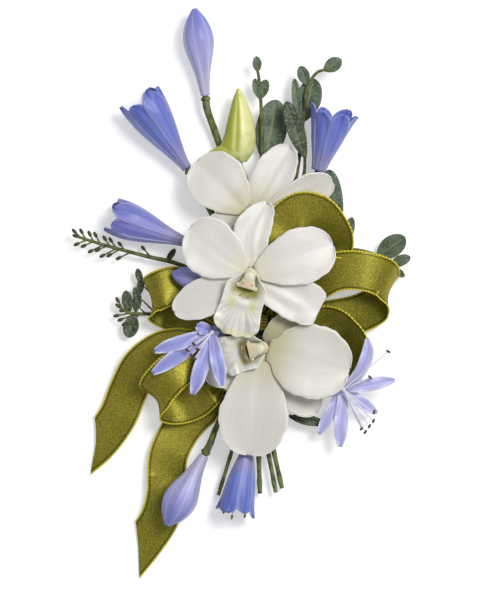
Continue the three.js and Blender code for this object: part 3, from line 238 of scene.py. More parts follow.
def turned(points, degrees, axis=2):
    """Points turned about one axis through the origin."""
    c, s = cos(radians(degrees)), sin(radians(degrees))
    a, b = [(1, 2), (2, 0), (0, 1)][axis]
    points = array(points, float)
    made = points.copy()
    made[..., a] = c * points[..., a] - s * points[..., b]
    made[..., b] = s * points[..., a] + c * points[..., b]
    return made


def unit(vectors):
    return vectors / np.maximum(np.linalg.norm(vectors, axis=-1, keepdims=True), 1e-12)


def stack(*columns):
    return np.stack(np.broadcast_arrays(*columns), axis=-1)


def sine(turns):
    return sin(2 * pi * turns)


def bulge(offset, width):
    """A smooth rise about zero, as wide as width."""
    return exp(-((offset / width) ** 2))


def smooth_through(values, spot):
    """A smooth curve through equally spaced values, at shares from 0 to 1."""
    values = array(values, float)
    padded = np.concatenate([[2 * values[0] - values[1]], values, [2 * values[-1] - values[-2]]])
    where = np.clip(spot, 0, 1) * (len(values) - 1)
    i = np.minimum(where.astype(int), len(values) - 2)
    t = where - i
    a, b, c, d = (padded[i + k] for k in range(4))
    return 0.5 * (2 * b + (c - a) * t + (2 * a - 5 * b + 4 * c - d) * t**2 + (3 * b - a - 3 * c + d) * t**3)


def curve_through(places, fine=40):
    """A centripetal curve through places: its points, how far along each lies, and its spot among them."""
    places = array(places, float)
    ends = [2 * places[0] - places[1], *places, 2 * places[-1] - places[-2]]
    points, spots = [], []
    for i in range(len(places) - 1):
        a, b, c, d = ends[i : i + 4]
        g, h, k = (max(np.linalg.norm(q - p) ** 0.5, 1e-7) for p, q in ((a, b), (b, c), (c, d)))
        lead = ((b - a) / g - (c - a) / (g + h) + (c - b) / h) * h
        trail = ((c - b) / h - (d - b) / (h + k) + (d - c) / k) * h
        t = linspace(0, 1, fine + 1)[: fine + (i == len(places) - 2), None]
        bend = (3 * (c - b) - 2 * lead - trail) * t**2 + (2 * (b - c) + lead + trail) * t**3
        points.append(b + lead * t + bend)
        spots.append(i + t[:, 0])
    points, spots = np.concatenate(points), np.concatenate(spots)
    reach = np.concatenate([[0], np.cumsum(np.linalg.norm(np.diff(points, axis=0), axis=1))])
    return points, reach, spots


def sampled(curve, share):
    """Points, directions and spots of a curve at shares of its length."""
    points, reach, spots = curve
    share = np.asarray(share) * reach[-1]
    slope = np.gradient(points, reach, axis=0)
    at, ahead = (stack(*(np.interp(share, reach, column) for column in rows.T)) for rows in (points, slope))
    return at, unit(ahead), np.interp(share, reach, spots)


print("a bulge of width 2 at 1:", round(bulge(1, 2), 3))

# %% [markdown]
# Everything here is a thin sheet or a round stalk, so two builders are enough. A sheet is a grid: a rule
# gives the middle of the sheet for each share along and across it, and the grid is thickened on both sides
# and closed round its rim. A stalk is a row of rings along a curve. Both keep how far along and across each
# corner lies, and which face it is on, so that finishes can follow the shape.

# %% Sheets and stalks


def quads(rows, columns, closed=False, first=0, outward=True):
    """The faces between rows of corners. A closed row meets its own start."""
    width = columns if closed else columns + 1
    faces = []
    for a in (first + row * width for row in range(rows)):
        for k in range(columns):
            face = (a + k, a + (k + 1) % width, a + width + (k + 1) % width, a + width + k)
            faces.append(face if outward else face[::-1])
    return faces


def sheet(rule, rows, columns, thickness, rim=0.5):
    """A closed thin shape: corners, faces and traits."""
    along, across = np.meshgrid(linspace(0, 1, rows + 1), linspace(-1, 1, columns + 1), indexing="ij")
    middle = rule(along, across)
    normal = unit(np.cross(np.gradient(middle, axis=0), np.gradient(middle, axis=1)))
    half = thickness / 2 * (rim + (1 - rim) * (1 - across**4))[..., None]
    corners = np.concatenate([(middle + normal * half).reshape(-1, 3),
                              (middle - normal * half).reshape(-1, 3)])
    under = along.size
    faces = quads(rows, columns, outward=False) + quads(rows, columns, first=under)
    index = np.arange(under).reshape(along.shape)
    ring = np.concatenate([index[:-1, 0], index[-1, :-1], index[:0:-1, -1], index[0, :0:-1]]).tolist()
    faces += [(under + a, under + b, b, a) for a, b in zip(ring, ring[1:] + ring[:1])]
    upper = np.repeat([1.0, 0.0], under)
    return corners, faces, np.tile(along.ravel(), 2), np.tile(across.ravel(), 2), upper


def stalk(places, radius, rings=24, sides=12, flutes=None):
    """A closed round shape along a curve. radius is a number, or a rule of the share along it."""
    shares = linspace(0, 1, rings + 1)
    at, ahead, _ = sampled(curve_through(places), shares)
    side = np.cross(ahead[0], [0.0, 0.0, 1.0])
    if np.linalg.norm(side) < 0.1:
        side = np.cross(ahead[0], [1.0, 0.0, 0.0])
    aside = []
    for direction in ahead:
        side = unit(side - direction * (side @ direction))
        aside.append(side)
    turn = linspace(0, 2 * pi, sides, endpoint=False)
    wide = (radius(shares) if callable(radius) else radius + 0 * shares)[:, None]
    wide = wide * (flutes(shares[:, None], turn[None]) if flutes else np.ones((1, sides)))
    rim = array(aside)[:, None] * cos(turn)[:, None] + np.cross(ahead, aside)[:, None] * sin(turn)[:, None]
    corners = np.concatenate([(at[:, None] + rim * wide[..., None]).reshape(-1, 3), at[:1], at[-1:]])
    faces = quads(rings, sides, closed=True)
    last, foot = rings * sides, (rings + 1) * sides
    for k in range(sides):
        n = (k + 1) % sides
        faces += [(foot, n, k), (foot + 1, last + k, last + n)]
    along = np.concatenate([np.repeat(shares, sides), [0, 1]])
    across = np.concatenate([np.tile(sin(turn * 3), rings + 1), [0, 0]])
    return corners, faces, along, across, np.ones(len(corners))


def lump(centre, radii, ahead=(0, 0, 1), rings=10, sides=14):
    """A rounded grain, drawn out along ahead: radii are across it and along it."""
    reach = unit(array(ahead, float)) * radii[1]
    ease = lambda share: radii[0] * np.sqrt(np.clip(1 - (2 * share - 1) ** 2, 0.0004, 1))
    return stalk([centre - reach, centre + 0 * reach, centre + reach], ease, rings, sides)


print("builders ready")

# %% [markdown]
# A piece is one mesh made of one or more of these shapes. It rides on a body, names the solids that it stands
# for and carries its finishes.

# %% Making a piece
TRAITS = ("along", "across", "upper")


def piece(name, shapes, finish, body="spray", replaces=()):
    """One smooth mesh of several shapes. Each shape may end with the number of its own finish."""
    mesh = bpy.data.meshes.new(name)
    faces, paint, offset = [], [], 0
    for points, sides, *_, which in (shape if len(shape) == 6 else (*shape, 0) for shape in shapes):
        faces += [tuple(offset + k for k in side) for side in sides]
        paint += [which] * len(sides)
        offset += len(points)
    mesh.from_pydata(np.concatenate([shape[0] for shape in shapes]).tolist(), [], faces)
    for place_in_shape, trait in enumerate(TRAITS, 2):
        values = np.concatenate([shape[place_in_shape] for shape in shapes]).astype(np.float32)
        mesh.attributes.new(trait, "FLOAT", "POINT").data.foreach_set("value", values)
    for each in finish if isinstance(finish, list) else [finish]:
        mesh.materials.append(each.material)
    mesh.polygons.foreach_set("material_index", paint)
    mesh.shade_smooth()
    mesh.update()
    made = bpy.data.objects.new(name, mesh)
    scene.collection.objects.link(made)
    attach(made, body)
    if replaces:
        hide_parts(*replaces)
    return made


def dressed(node, shapes, finish, body="spray"):
    """The finer piece that stands for one node of the frame."""
    return piece(f"{node}_dressed", shapes, finish, body, [node])


# %% [markdown]
# Orchid petals are thick, waxy and almost white. Fine veins run from the claw to the rim, so the relief
# follows the shares across and along the petal. Light passes a little way into them, which softens their
# shadows. The rims are thinner, and a paler band along them is a painted highlight.

# %% Petal finish


def waxy(depth, weight=0.18):
    """Light that passes a little way in, as deep as depth millimetres."""
    return dict(Subsurface_Weight=weight, Subsurface_Scale=depth * MM)


def petal_finish(name, body, claw, veins=1.0):
    made = Finish(name, body, Roughness=0.4, Sheen_Weight=0.1, Subsurface_Radius=(1.0, 0.9, 0.75),
                  **waxy(1.0))
    along, across, wide = made.shares()
    streak = made.stretched(1.8, made.times(across, 16.0), made.times(along, 1.4))
    cloud = made.noise(70.0, detail=3.0)
    made.coat(made.band(along, 0.0, 0.34, 1.0, 0.0), claw)
    made.coat(made.band(cloud, 0.35, 0.7, 0.0, 0.35), (0.83, 0.825, 0.80))
    made.coat(made.band(streak, 0.5, 0.72, 0.0, 0.11 * veins), (0.66, 0.65, 0.60))
    # Painted highlight: a paler band along the rim and the tip stands in for light caught at the thin edges.
    rim = made.math("MAXIMUM", made.band(wide, 0.93, 1.0, 0.0, 0.8), made.band(along, 0.97, 1.0, 0.0, 0.8))
    made.coat(rim, (0.96, 0.96, 0.95))
    made.relief(streak, 0.14, 0.35 * veins)
    made.relief(cloud, 0.35, 0.3)
    return made


white_petal = petal_finish("white_petal", (0.885, 0.87, 0.85), (0.87, 0.855, 0.78))
cream_petal = petal_finish("cream_petal", (0.87, 0.855, 0.82), (0.77, 0.74, 0.59), 1.5)
# Painted shade: a darker, greener copy of the petal finish, for a sepal that lies in shade.
painted_shade_petal = petal_finish("painted_shade_petal", (0.76, 0.73, 0.60), (0.60, 0.57, 0.40))
print("petal finishes: white, cream and shaded")

# %% [markdown]
# A petal starts from a narrow claw, widens, rounds off at the tip and curls back. The rule below is the one
# that shaped its solid, with a crease along the middle and slow waves in the rim added.

# %% Petals and sepals
COLUMN_RADIUS = 2.3 * MM
TEPAL_SEAT = COLUMN_RADIUS + CLEARANCE
TEPAL_THICKNESS = 0.6 * MM
PETAL_FORWARD = 1.5 * MM
PETAL = dict(claw=0.26, widest=0.6, tip=0.16, swell=0.95)
SEPAL = dict(claw=0.38, widest=0.52, tip=0.1, swell=0.65)
PETAL_CUP, SEPAL_CUP = 0.07, 0.09
CREASE_DEPTH, CREASE_WIDTH = 0.35 * MM, 0.16
TIP_CROWDING = 1.5


def tepal_outline(along, claw, widest, tip, swell, neck=0.0):
    rise = sin(pi / 2 * np.clip((along - neck) / (widest - neck), 0, 1)) ** swell
    beyond = np.clip((along - widest) / (1 - widest), 0, 1)
    return np.where(along < widest, claw + (1 - claw) * rise, tip + (1 - tip) * np.sqrt(1 - beyond**2))


def tepal(part, around, length, width, lift, curl, roll=0.0, ahead=0.0, wave=0.5, phase=0.0, sway=0.0,
          **outline):
    """One petal or sepal, about its flower's centre."""
    petal = part.endswith("petal")
    shape = {**(PETAL if petal else SEPAL), **outline}
    forward, hollow = (PETAL_FORWARD * (1 + ahead), PETAL_CUP) if petal else (0.0, SEPAL_CUP)
    length, width = length * SPRAY_LENGTH, width * SPRAY_LENGTH
    lift, curl, roll = radians([lift, curl, roll])

    def rule(step, across):
        along = 1 - (1 - step) ** TIP_CROWDING
        half = width / 2 * tepal_outline(along, **shape)
        bend = lift - curl * along
        out = TEPAL_SEAT + length * (sin(lift) - sin(bend)) / curl
        rise = forward + length * (cos(bend) - cos(lift)) / curl
        cup = width * hollow * across**2 * along
        crease = CREASE_DEPTH * bulge(across, CREASE_WIDTH) * sin(pi * np.clip(along, 0, 1))
        waves = across**2 * np.sign(across) * sine(1.5 * along + phase) * along
        ripple = 0.3 * np.abs(across) ** 3 * sine(4 * along + 2 * phase) * along
        fold = 0.35 * sin(2.3 * pi * (across + phase)) * sin(pi * along) ** 2
        up = rise + half * across * sin(roll) * along + cup - crease + wave * MM * (waves + ripple + fold)
        ragged = 1 + 0.018 * sine(3.1 * along + phase) + 0.012 * sine(7 * along + phase)
        side = half * across * cos(roll) * ragged + sway * MM * sin(pi * along)
        return turned(stack(out, side, up), around)

    return sheet(rule, 34, 22, TEPAL_THICKNESS)


def moved(shape, flower):
    """A flower's shape at its place in the spray."""
    facts = ORCHIDS[flower]
    return (turned(shape[0], facts["tilt"], axis=0) + place(facts["at"]), *shape[1:])


ORCHIDS = {
    "centre_orchid": dict(at=(0.014, 0.037, 0.64), tilt=0, skin=white_petal, tepals={
        "dorsal_sepal": dict(around=77, length=0.1184, width=0.0633, lift=4, curl=22, wave=0.9, phase=0.3,
                             sway=3.4, claw=0.42, widest=0.5, tip=0.04, swell=0.7),
        "left_petal": dict(around=142, length=0.1204, width=0.0985, lift=10, curl=26, phase=0.2, sway=1.6),
        "right_petal": dict(around=20, length=0.1408, width=0.0959, lift=10, curl=26, phase=0.5),
        "left_sepal": dict(around=206, length=0.1347, width=0.0673, lift=4, curl=18, phase=0.1),
        "right_sepal": dict(around=-27, length=0.1224, width=0.0776, lift=4, curl=13, wave=1.2, phase=0.35,
                            claw=0.5, widest=0.66, tip=0.6, swell=0.7),
    }),
    "lower_orchid": dict(at=(0.034, -0.088, 0.46), tilt=0, skin=cream_petal, tepals={
        "dorsal_sepal": dict(around=-50, length=0.1367, width=0.0776, lift=0.01, curl=16),
        "left_petal": dict(around=-97, length=0.1755, width=0.1184, lift=7, curl=22, phase=0.4,
                           claw=0.28, widest=0.64, tip=0.16, swell=1.25),
        "right_petal": dict(around=-15, length=0.1449, width=0.1275, lift=12, curl=25, ahead=0.67, phase=0.15,
                            claw=0.3, neck=0.08, widest=0.52, tip=0.2, swell=0.55),
        "left_sepal": dict(around=207, length=0.1, width=0.076, lift=-4, curl=4),
        "right_sepal": dict(around=40, length=0.0796, width=0.0531, lift=5, curl=4),
    }),
    "upper_orchid": dict(at=(0.014, 0.14, 0.4), tilt=-8, skin=cream_petal, tepals={
        "dorsal_sepal": dict(around=60, length=0.1265, width=0.0694, lift=6, curl=14, phase=0.3),
        "left_petal": dict(around=135, length=0.1204, width=0.1, lift=8, curl=24, phase=0.6),
        "right_petal": dict(around=22, length=0.1429, width=0.0612, lift=6, curl=20, roll=32, phase=0.1,
                            claw=0.2, widest=0.7, tip=0.2, swell=2),
        "left_sepal": dict(around=205, length=0.0776, width=0.0571, lift=2, curl=14),
        "right_sepal": dict(around=-28, length=0.0816, width=0.0571, lift=2, curl=14),
    }),
}

for flower, facts in ORCHIDS.items():
    for part, sizes in facts["tepals"].items():
        # The lower orchid's right sepal takes the copy with painted shade.
        skin = painted_shade_petal if (flower, part) == ("lower_orchid", "right_sepal") else facts["skin"]
        dressed(f"{flower}_{part}", [moved(tepal(part, **sizes), flower)], skin)
print("tepals:", sum(len(facts["tepals"]) for facts in ORCHIDS.values()))

# %% [markdown]
# The lip is a ruffled tongue. It hugs the column at its foot, opens into a bowl and waves along its rim. The
# bowl is olive at the throat, with a bright hump before it and fine ridges that spread towards the rim.

# %% Lip finish


def lip_finish(name, throat_reach, throat):
    made = Finish(name, (0.90, 0.89, 0.86), Roughness=0.38, Subsurface_Radius=(1.0, 0.9, 0.7), **waxy(1.0))
    along, across, wide = made.shares()
    spread = made.math("ARCTAN2", across, made.math("SUBTRACT", along, 0.3))
    ridges = made.stretched(2.0, made.times(spread, 6.0), along)
    outer = made.times(made.band(along, 0.46, 0.56), made.band(along, 0.72, 0.95, 1.0, 0.3))
    made.coat(made.times(made.band(ridges, 0.5, 0.66, 0.0, 0.3), outer), (0.58, 0.58, 0.53))
    flank = made.times(made.band(along, 0.3, 0.44), made.band(along, 0.44, 0.66, 0.7, 0.0))
    sides = made.times(made.band(wide, 0.2, 0.45), made.band(wide, 0.5, 0.85, 1.0, 0.0))
    made.coat(made.times(flank, sides), (0.84, 0.83, 0.52))
    reach = made.band(along, throat_reach - 0.08, throat_reach + 0.06, 1.0, 0.0)
    made.coat(made.times(reach, made.band(wide, 0.5, 0.95, 1.0, 0.0)), throat)
    made.coat(made.band(along, 0.84, 0.97, 0.0, 0.8), (0.93, 0.91, 0.74))
    # Painted highlight: a paler band along the bowl's rim stands in for light on its raised edge.
    made.coat(made.band(wide, 0.88, 1.0, 0.0, 0.85), (0.95, 0.945, 0.92))
    made.relief(ridges, 0.3, 0.4)
    return made


white_lip = lip_finish("white_lip", 0.34, (0.60, 0.58, 0.30))
olive_lip = lip_finish("olive_lip", 0.5, (0.46, 0.41, 0.22))
spot_brown = grained("spot_brown", (0.74, 0.48, 0.26), (0.60, 0.36, 0.18), 1500.0, Roughness=0.5)
print("lip finishes: white and olive")

# %% [markdown]
# Three rows of values run from the lip's foot to its tip: half its width, its floor and its rim. The middle
# orchid's lip has two dark dots.

# %% Lips
LIP_FOOT_RADIUS = COLUMN_RADIUS + 0.95 * MM
LIP_FOOT_END = 0.22
LIP_HALF = [0.45, 0.86, 0.94, 0.95, 0.97, 1.03, 1.04, 0.78]
LIP_FLOOR = [0.078, 0.072, 0.14, 0.15, 0.125, 0.1, 0.06, 0.01]
LIP_RIM = [0.25, 0.31, 0.28, 0.21, 0.17, 0.14, 0.09, 0.03]
LIP_BOWL, LIP_WAVE, LIP_WAVES = 2.6, 0.035, 2.5
LIP_DOTS = [(0.3, 0.2), (0.3, -0.2)]  # along and across, two dark dots behind the hump


def lip_rule(around, length, width, wrap, raised=0.0):
    length, width, raised = array([length, width, raised]) * SPRAY_LENGTH
    wrap = radians(wrap)

    def rule(along, across):
        foot = np.maximum(1 - along / LIP_FOOT_END, 0)
        out = LIP_FOOT_RADIUS * cos(wrap * across) * (1 - along) ** 2
        out = out + length * (along - 0.06 * along**6 * across**2 + 0.012 * sin(9 * across) * along**4)
        side = width / 2 * smooth_through(LIP_HALF, along) * across * (1 - foot)
        side = side + LIP_FOOT_RADIUS * sin(wrap * across) * foot
        rise, far = np.abs(across) ** LIP_BOWL, np.abs(across)
        up = smooth_through(LIP_FLOOR, along) * (1 - rise) + smooth_through(LIP_RIM, along) * rise
        ruffle = cos(2 * pi * LIP_WAVES * along + 0.6 * np.sign(across))
        frill = 0.5 * far**3 * sin(14 * pi * along + 2 * across)
        spread = np.arctan2(across, np.maximum(along - 0.3, 0.05))
        up = up + LIP_WAVE * along * far * (ruffle + frill)
        up = up + along**3 * (0.035 * cos(7 * across + 1) + 0.02 * cos(13 * spread + 0.5))
        hump = 0.05 * bulge(along - 0.43, 0.07) * bulge(across, 0.3)
        keel = 0.012 * bulge(across, 0.07) * np.clip(along - 0.1, 0, 1)
        return turned(stack(out, side, width * (up + hump - keel) + raised), around)

    return rule


LIPS = {
    "centre_orchid": dict(around=-106, length=0.1082, width=0.0755, wrap=115),
    "lower_orchid": dict(around=194, length=0.0735, width=0.0653, wrap=105, raised=0.0047),
    "upper_orchid": dict(around=-90, length=0.0449, width=0.0449, wrap=60, raised=0.002),
}
for flower, sizes in LIPS.items():
    rule, ahead = lip_rule(**sizes), turned([1, 0, 0], sizes["around"])
    shapes = [sheet(rule, 60, 40, TEPAL_THICKNESS, rim=0.55)]
    for dot in LIP_DOTS if flower == "centre_orchid" else []:
        at = rule(*array(dot).reshape(2, 1, 1))[0, 0] + [0, 0, 0.4 * MM]
        shapes.append((*lump(at, (0.34 * MM, 0.5 * MM), ahead, 6, 10), 1))
    skin = white_lip if flower == "centre_orchid" else olive_lip
    dressed(f"{flower}_lip", [moved(shape, flower) for shape in shapes], [skin, spot_brown])
print("lips:", len(LIPS))

# %% [markdown]
# The column is the orchid's centre: a short thick finger that stands up from the flower, with a round cap
# over the pollen. Its face slopes down over the throat, peach with two brown spots, between two white teeth.
# The stalk runs back through the flower to the tape.

# %% Column finishes
column_skin = grained("column_skin", (0.92, 0.89, 0.78), (0.89, 0.85, 0.72), 600.0, (600.0, 0.08, 0.3),
                      Roughness=0.35, **waxy(0.8, 0.25))
anther_cap = grained("anther_cap", (0.93, 0.90, 0.82), (0.90, 0.86, 0.75), 900.0, (900.0, 0.08, 0.3),
                     Roughness=0.3, **waxy(0.8, 0.25))
face_skin = grained("face_skin", (0.92, 0.89, 0.79), (0.89, 0.86, 0.74), 600.0, Roughness=0.35,
                    **waxy(0.8, 0.25))
along, across, wide = face_skin.shares()
middle = face_skin.band(wide, 0.25, 0.75, 1.0, 0.0)
face_skin.coat(face_skin.times(middle, face_skin.band(along, 0.15, 0.45)), (0.91, 0.83, 0.71))
print("column finishes: skin, cap and face")

# %% [markdown]
# All stems meet under the flowers. The bundle's upper end has ten slots, five columns in two rows, and each
# flower's stem ends a little before its own.

# %% Where the stems meet the bundle
STEM_SEAT, SLOT_PITCH = 0.35 * MM, 2.75 * MM
SLOT_ROWS = dict(low=0.27, high=0.75)
SLOT_APPROACH = 5.2 * MM
BUNDLE_HEIGHT, BUNDLE_LENGTH, TAPE_BARE = 6.6 * MM, 0.2367 * SPRAY_LENGTH, 4 * MM
bundle_top = tape_middle[1] + BUNDLE_LENGTH / 2
bundle_bottom = tape_middle[1] - BUNDLE_LENGTH / 2


def top_slot(column, row):
    """Where a stem meets the upper end of the bundle."""
    height = tape_middle[2] + (SLOT_ROWS[row] - 0.5) * BUNDLE_HEIGHT
    return array([tape_middle[0] + column * SLOT_PITCH, bundle_top + STEM_SEAT, height])


print("bundle", round(BUNDLE_LENGTH / MM, 1), "mm long")

# %% [markdown]
# A column is a trunk, a cap, a sloping face, a collar and two teeth. The stalk leaves from the flower's back.

# %% Columns
STALK_RADIUS = 1.3 * MM
FULL_COLUMN = 6.9 * MM
COLUMNS = {
    "centre_orchid": dict(length=0.0282, lean=78, stalk_end=(0.014, -0.007, 0)),
    "lower_orchid": dict(length=0.0282, lean=78, stalk_end=(0.034, -0.095, 0)),
    "upper_orchid": dict(length=0.018, lean=72, stalk_end=None),
}
TRUNK_OUTLINE = [0.9, 0.95, 0.97, 0.92, 0.6]
FACE_REACH, TOOTH_SPREAD = 0.78, 0.62  # of the column's length
SPOTS = [(0.68, 0.5), (0.68, -0.5)]  # along and across the face
NUDGES = [(0, 0), (0.01, 0), (0, 0.01)]  # for the slope at a spot
COLLAR_RADIUS = 2.85 * MM


def face(along, across):
    """The slope from under the cap to the two teeth, in lengths of the column."""
    out = 0.05 + FACE_REACH * along + 0.1 * along * np.abs(across) ** 3
    half = 0.3 + (TOOTH_SPREAD - 0.3) * along**1.2
    drop = (0.16 + 0.3 * along) * np.abs(across) ** 2.4
    return stack(out, half * across, 1 - 0.24 * along**1.5 - drop - 0.05 * along * bulge(across, 0.35))


def orchid_stalk(flower, stalk_end):
    """From the back of the flower to the tape, or to the bundle's end."""
    if stalk_end:
        end = place(stalk_end)
        top = tape_middle[2] + BUNDLE_HEIGHT / 2 if end[1] > bundle_top - TAPE_BARE else tape_high[2]
        end[2] = top + STEM_SEAT
        away = end + [0, 0, STALK_RADIUS]
    else:
        end = top_slot(0, "high")
        away = end + [0, SLOT_APPROACH, 0]
    centre = place(ORCHIDS[flower]["at"])
    back = centre + turned([0, 0, -PETAL_FORWARD - STALK_RADIUS], ORCHIDS[flower]["tilt"], axis=0)
    return stalk([centre, back, away, end], STALK_RADIUS, 24, 14)


def column(flower, length, lean, stalk_end):
    around, length = LIPS[flower]["around"], length * SPRAY_LENGTH
    mm = MM * length / FULL_COLUMN
    tip = turned([length * cos(radians(lean)), 0, length * sin(radians(lean))], around)
    trunk_line = [(0, 0, -PETAL_FORWARD), (0, 0, COLUMN_RADIUS), tip * 0.96]
    shapes = [
        (*stalk(trunk_line, lambda s: COLUMN_RADIUS * smooth_through(TRUNK_OUTLINE, s), 20, 24), 0),
        (*lump(tip * 0.93, (2.15 * mm, 1.0 * mm), tip, 14, 24), 1),
        (*sheet(lambda along, across: turned(length * face(along, across), around), 20, 22, 0.9 * MM,
                rim=0.4), 3),
        (*lump([0, 0, 1.9 * MM], (COLLAR_RADIUS, 1.6 * MM), (0, 0, 1), 14, 28), 0),
    ]
    for way in (-1, 1):
        tooth = turned(length * array([FACE_REACH * 0.96, way * TOOTH_SPREAD * 0.92, 0.5]), around)
        lie = turned([0.75, way * 0.5, -0.75], around)
        shapes.append((*lump(tooth, (0.62 * mm, 1.15 * mm), lie, 10, 14), 1))
    for along, across in SPOTS if flower == "centre_orchid" else []:
        here, ahead, aside = (face(array(along + a), array(across + b)) for a, b in NUDGES)
        outward = turned(unit(np.cross(ahead - here, aside - here)), around)
        at = turned(length * here, around) + outward * 0.45 * MM
        shapes.append((*lump(at, (0.38 * mm, 0.16 * MM), outward, 8, 12), 2))
    return [moved(shape, flower) for shape in shapes] + [orchid_stalk(flower, stalk_end)]


for flower, sizes in COLUMNS.items():
    dressed(f"{flower}_column", column(flower, **sizes), [column_skin, anther_cap, spot_brown, face_skin])
print("columns:", len(COLUMNS))

# %% [markdown]
# The orchid bud is a smooth yellow-green drop. Its left flank is painted darker, as painted shade, and its
# right flank paler, as painted light, so the finish mixes the two by which way the surface faces.

# %% Orchid bud
BUD_RADIUS = 0.0265 * SPRAY_LENGTH
BUD_OUTLINE = [0.5, 0.9, 1, 0.97, 0.84, 0.64, 0.42, 0.1]
SPUR_OUTLINE = [0.85, 0.68, 0.42, 0.14]
bud_skin = Finish("bud_skin", (0.70, 0.71, 0.25), Roughness=0.38, **waxy(1.5, 0.2))
# Painted light and shade: the colour follows which way the surface faces, paler towards the right.
painted_light_facing = bud_skin.node("SeparateXYZ", [bud_skin.node("NewGeometry").outputs["Normal"]])
bud_skin.coat(bud_skin.band(painted_light_facing.outputs[0], -0.45, 0.15), (0.89, 0.88, 0.62))
bud_skin.coat(bud_skin.band(bud_skin.noise(220.0), 0.42, 0.72, 0.0, 0.35), (0.64, 0.68, 0.28))
bud_skin.relief(bud_skin.noise(350.0), 0.15, 0.3)


def bud_section(share, turn):
    """A crease down the front, a swelling towards the spur and a flatter back."""
    from_crease = (turn + 1.5 * pi + 0.28) % (2 * pi) - pi
    from_left = turn % (2 * pi) - pi
    crease = 0.09 * bulge(from_crease, 0.16) * sin(pi * np.clip(share, 0, 1)) ** 0.5
    swelling = 0.42 * bulge(share - 0.13, 0.16) * bulge(from_left, 0.7)
    return 1 - crease + swelling + 0.02 * cos(3 * turn + 0.6)


base, middle, tip = place((-0.005, 0.232, 0.2)), place((-0.003, 0.292, 0.22)), place((-0.006, 0.357, 0.28))
bud_body = stalk([base, middle, tip], lambda s: BUD_RADIUS * smooth_through(BUD_OUTLINE, s), 48, 48,
                 bud_section)
spur_foot, spur_tip = base * 0.84 + tip * 0.16, place((-0.056, 0.245, 0.25))
spur = stalk([spur_foot, (spur_foot + spur_tip) / 2, spur_tip],
             lambda s: BUD_RADIUS * smooth_through(SPUR_OUTLINE, s), 20, 24)
slot = top_slot(0, "low")
bud_stalk = stalk(
    [base * 0.9 + tip * 0.1, base, place((0.012, 0.18, 0.18)), slot + [0, SLOT_APPROACH, 0], slot],
    STALK_RADIUS, 36, 14,
)
dressed("orchid_bud", [bud_body, spur, bud_stalk], bud_skin)
print("orchid bud", round(float(np.linalg.norm(tip - base)) / MM, 1), "mm long")

# %% [markdown]
# Agapanthus florets are blue. Each has six parts, with a darker line down the middle of each and paler rims.
# The tube is greyer towards the stalk. The finish follows the shares along and across each part.

# %% Blue finishes
BLUES = {  # throat, middle, deep, edge, and how deep the mouth is coloured
    "bloom_blue": ((0.62, 0.60, 0.75), (0.47, 0.52, 0.81), (0.25, 0.32, 0.69), (0.60, 0.64, 0.87), 0.4),
    "bloom_pale": ((0.74, 0.71, 0.80), (0.68, 0.68, 0.86), (0.36, 0.41, 0.77), (0.80, 0.81, 0.95), 0.7),
    "bloom_violet": ((0.68, 0.65, 0.77), (0.54, 0.55, 0.82), (0.31, 0.35, 0.71), (0.70, 0.71, 0.90), 0.35),
    "star_blue": ((0.66, 0.66, 0.84), (0.63, 0.65, 0.87), (0.42, 0.46, 0.83), (0.90, 0.90, 0.98), 0.1),
    "star_pale": ((0.82, 0.81, 0.93), (0.77, 0.77, 0.94), (0.52, 0.53, 0.84), (0.93, 0.93, 0.99), 0.1),
}


def blue_finish(name, throat, middle, deep, edge, mouth):
    made = Finish(name, throat, Roughness=0.42, Sheen_Weight=0.15, **waxy(0.8, 0.15))
    along, across, wide = made.shares()
    streak = made.stretched(2.4, made.times(across, 5.0), made.times(along, 1.1))
    made.coat(made.band(along, 0.05, 0.5), middle)
    made.coat(made.band(wide, 0.5, 1.0, 0.0, 0.8), edge)
    made.coat(made.band(streak, 0.42, 0.7, 0.0, 0.35), deep)
    made.coat(made.band(along, 0.45, 0.98, 0.0, mouth), deep)
    made.coat(made.times(made.band(wide, 0.0, 0.2, 0.45, 0.0), made.band(along, 0.15, 0.45)), deep)
    made.coat(made.times(made.band(wide, 0.9, 1.0, 0.0, 0.7), made.band(along, 0.3, 0.6)), edge)
    made.relief(streak, 0.2, 0.4)
    return made


blues = {name: blue_finish(name, *tones) for name, tones in BLUES.items()}
print("blue finishes:", len(blues))

# %% [markdown]
# A half-open floret is six straps that overlap into a tube and part near the mouth, three a little inside the
# others. A closed bud is one fluted drop. Each is drawn along its own axis and then turned to its heading.

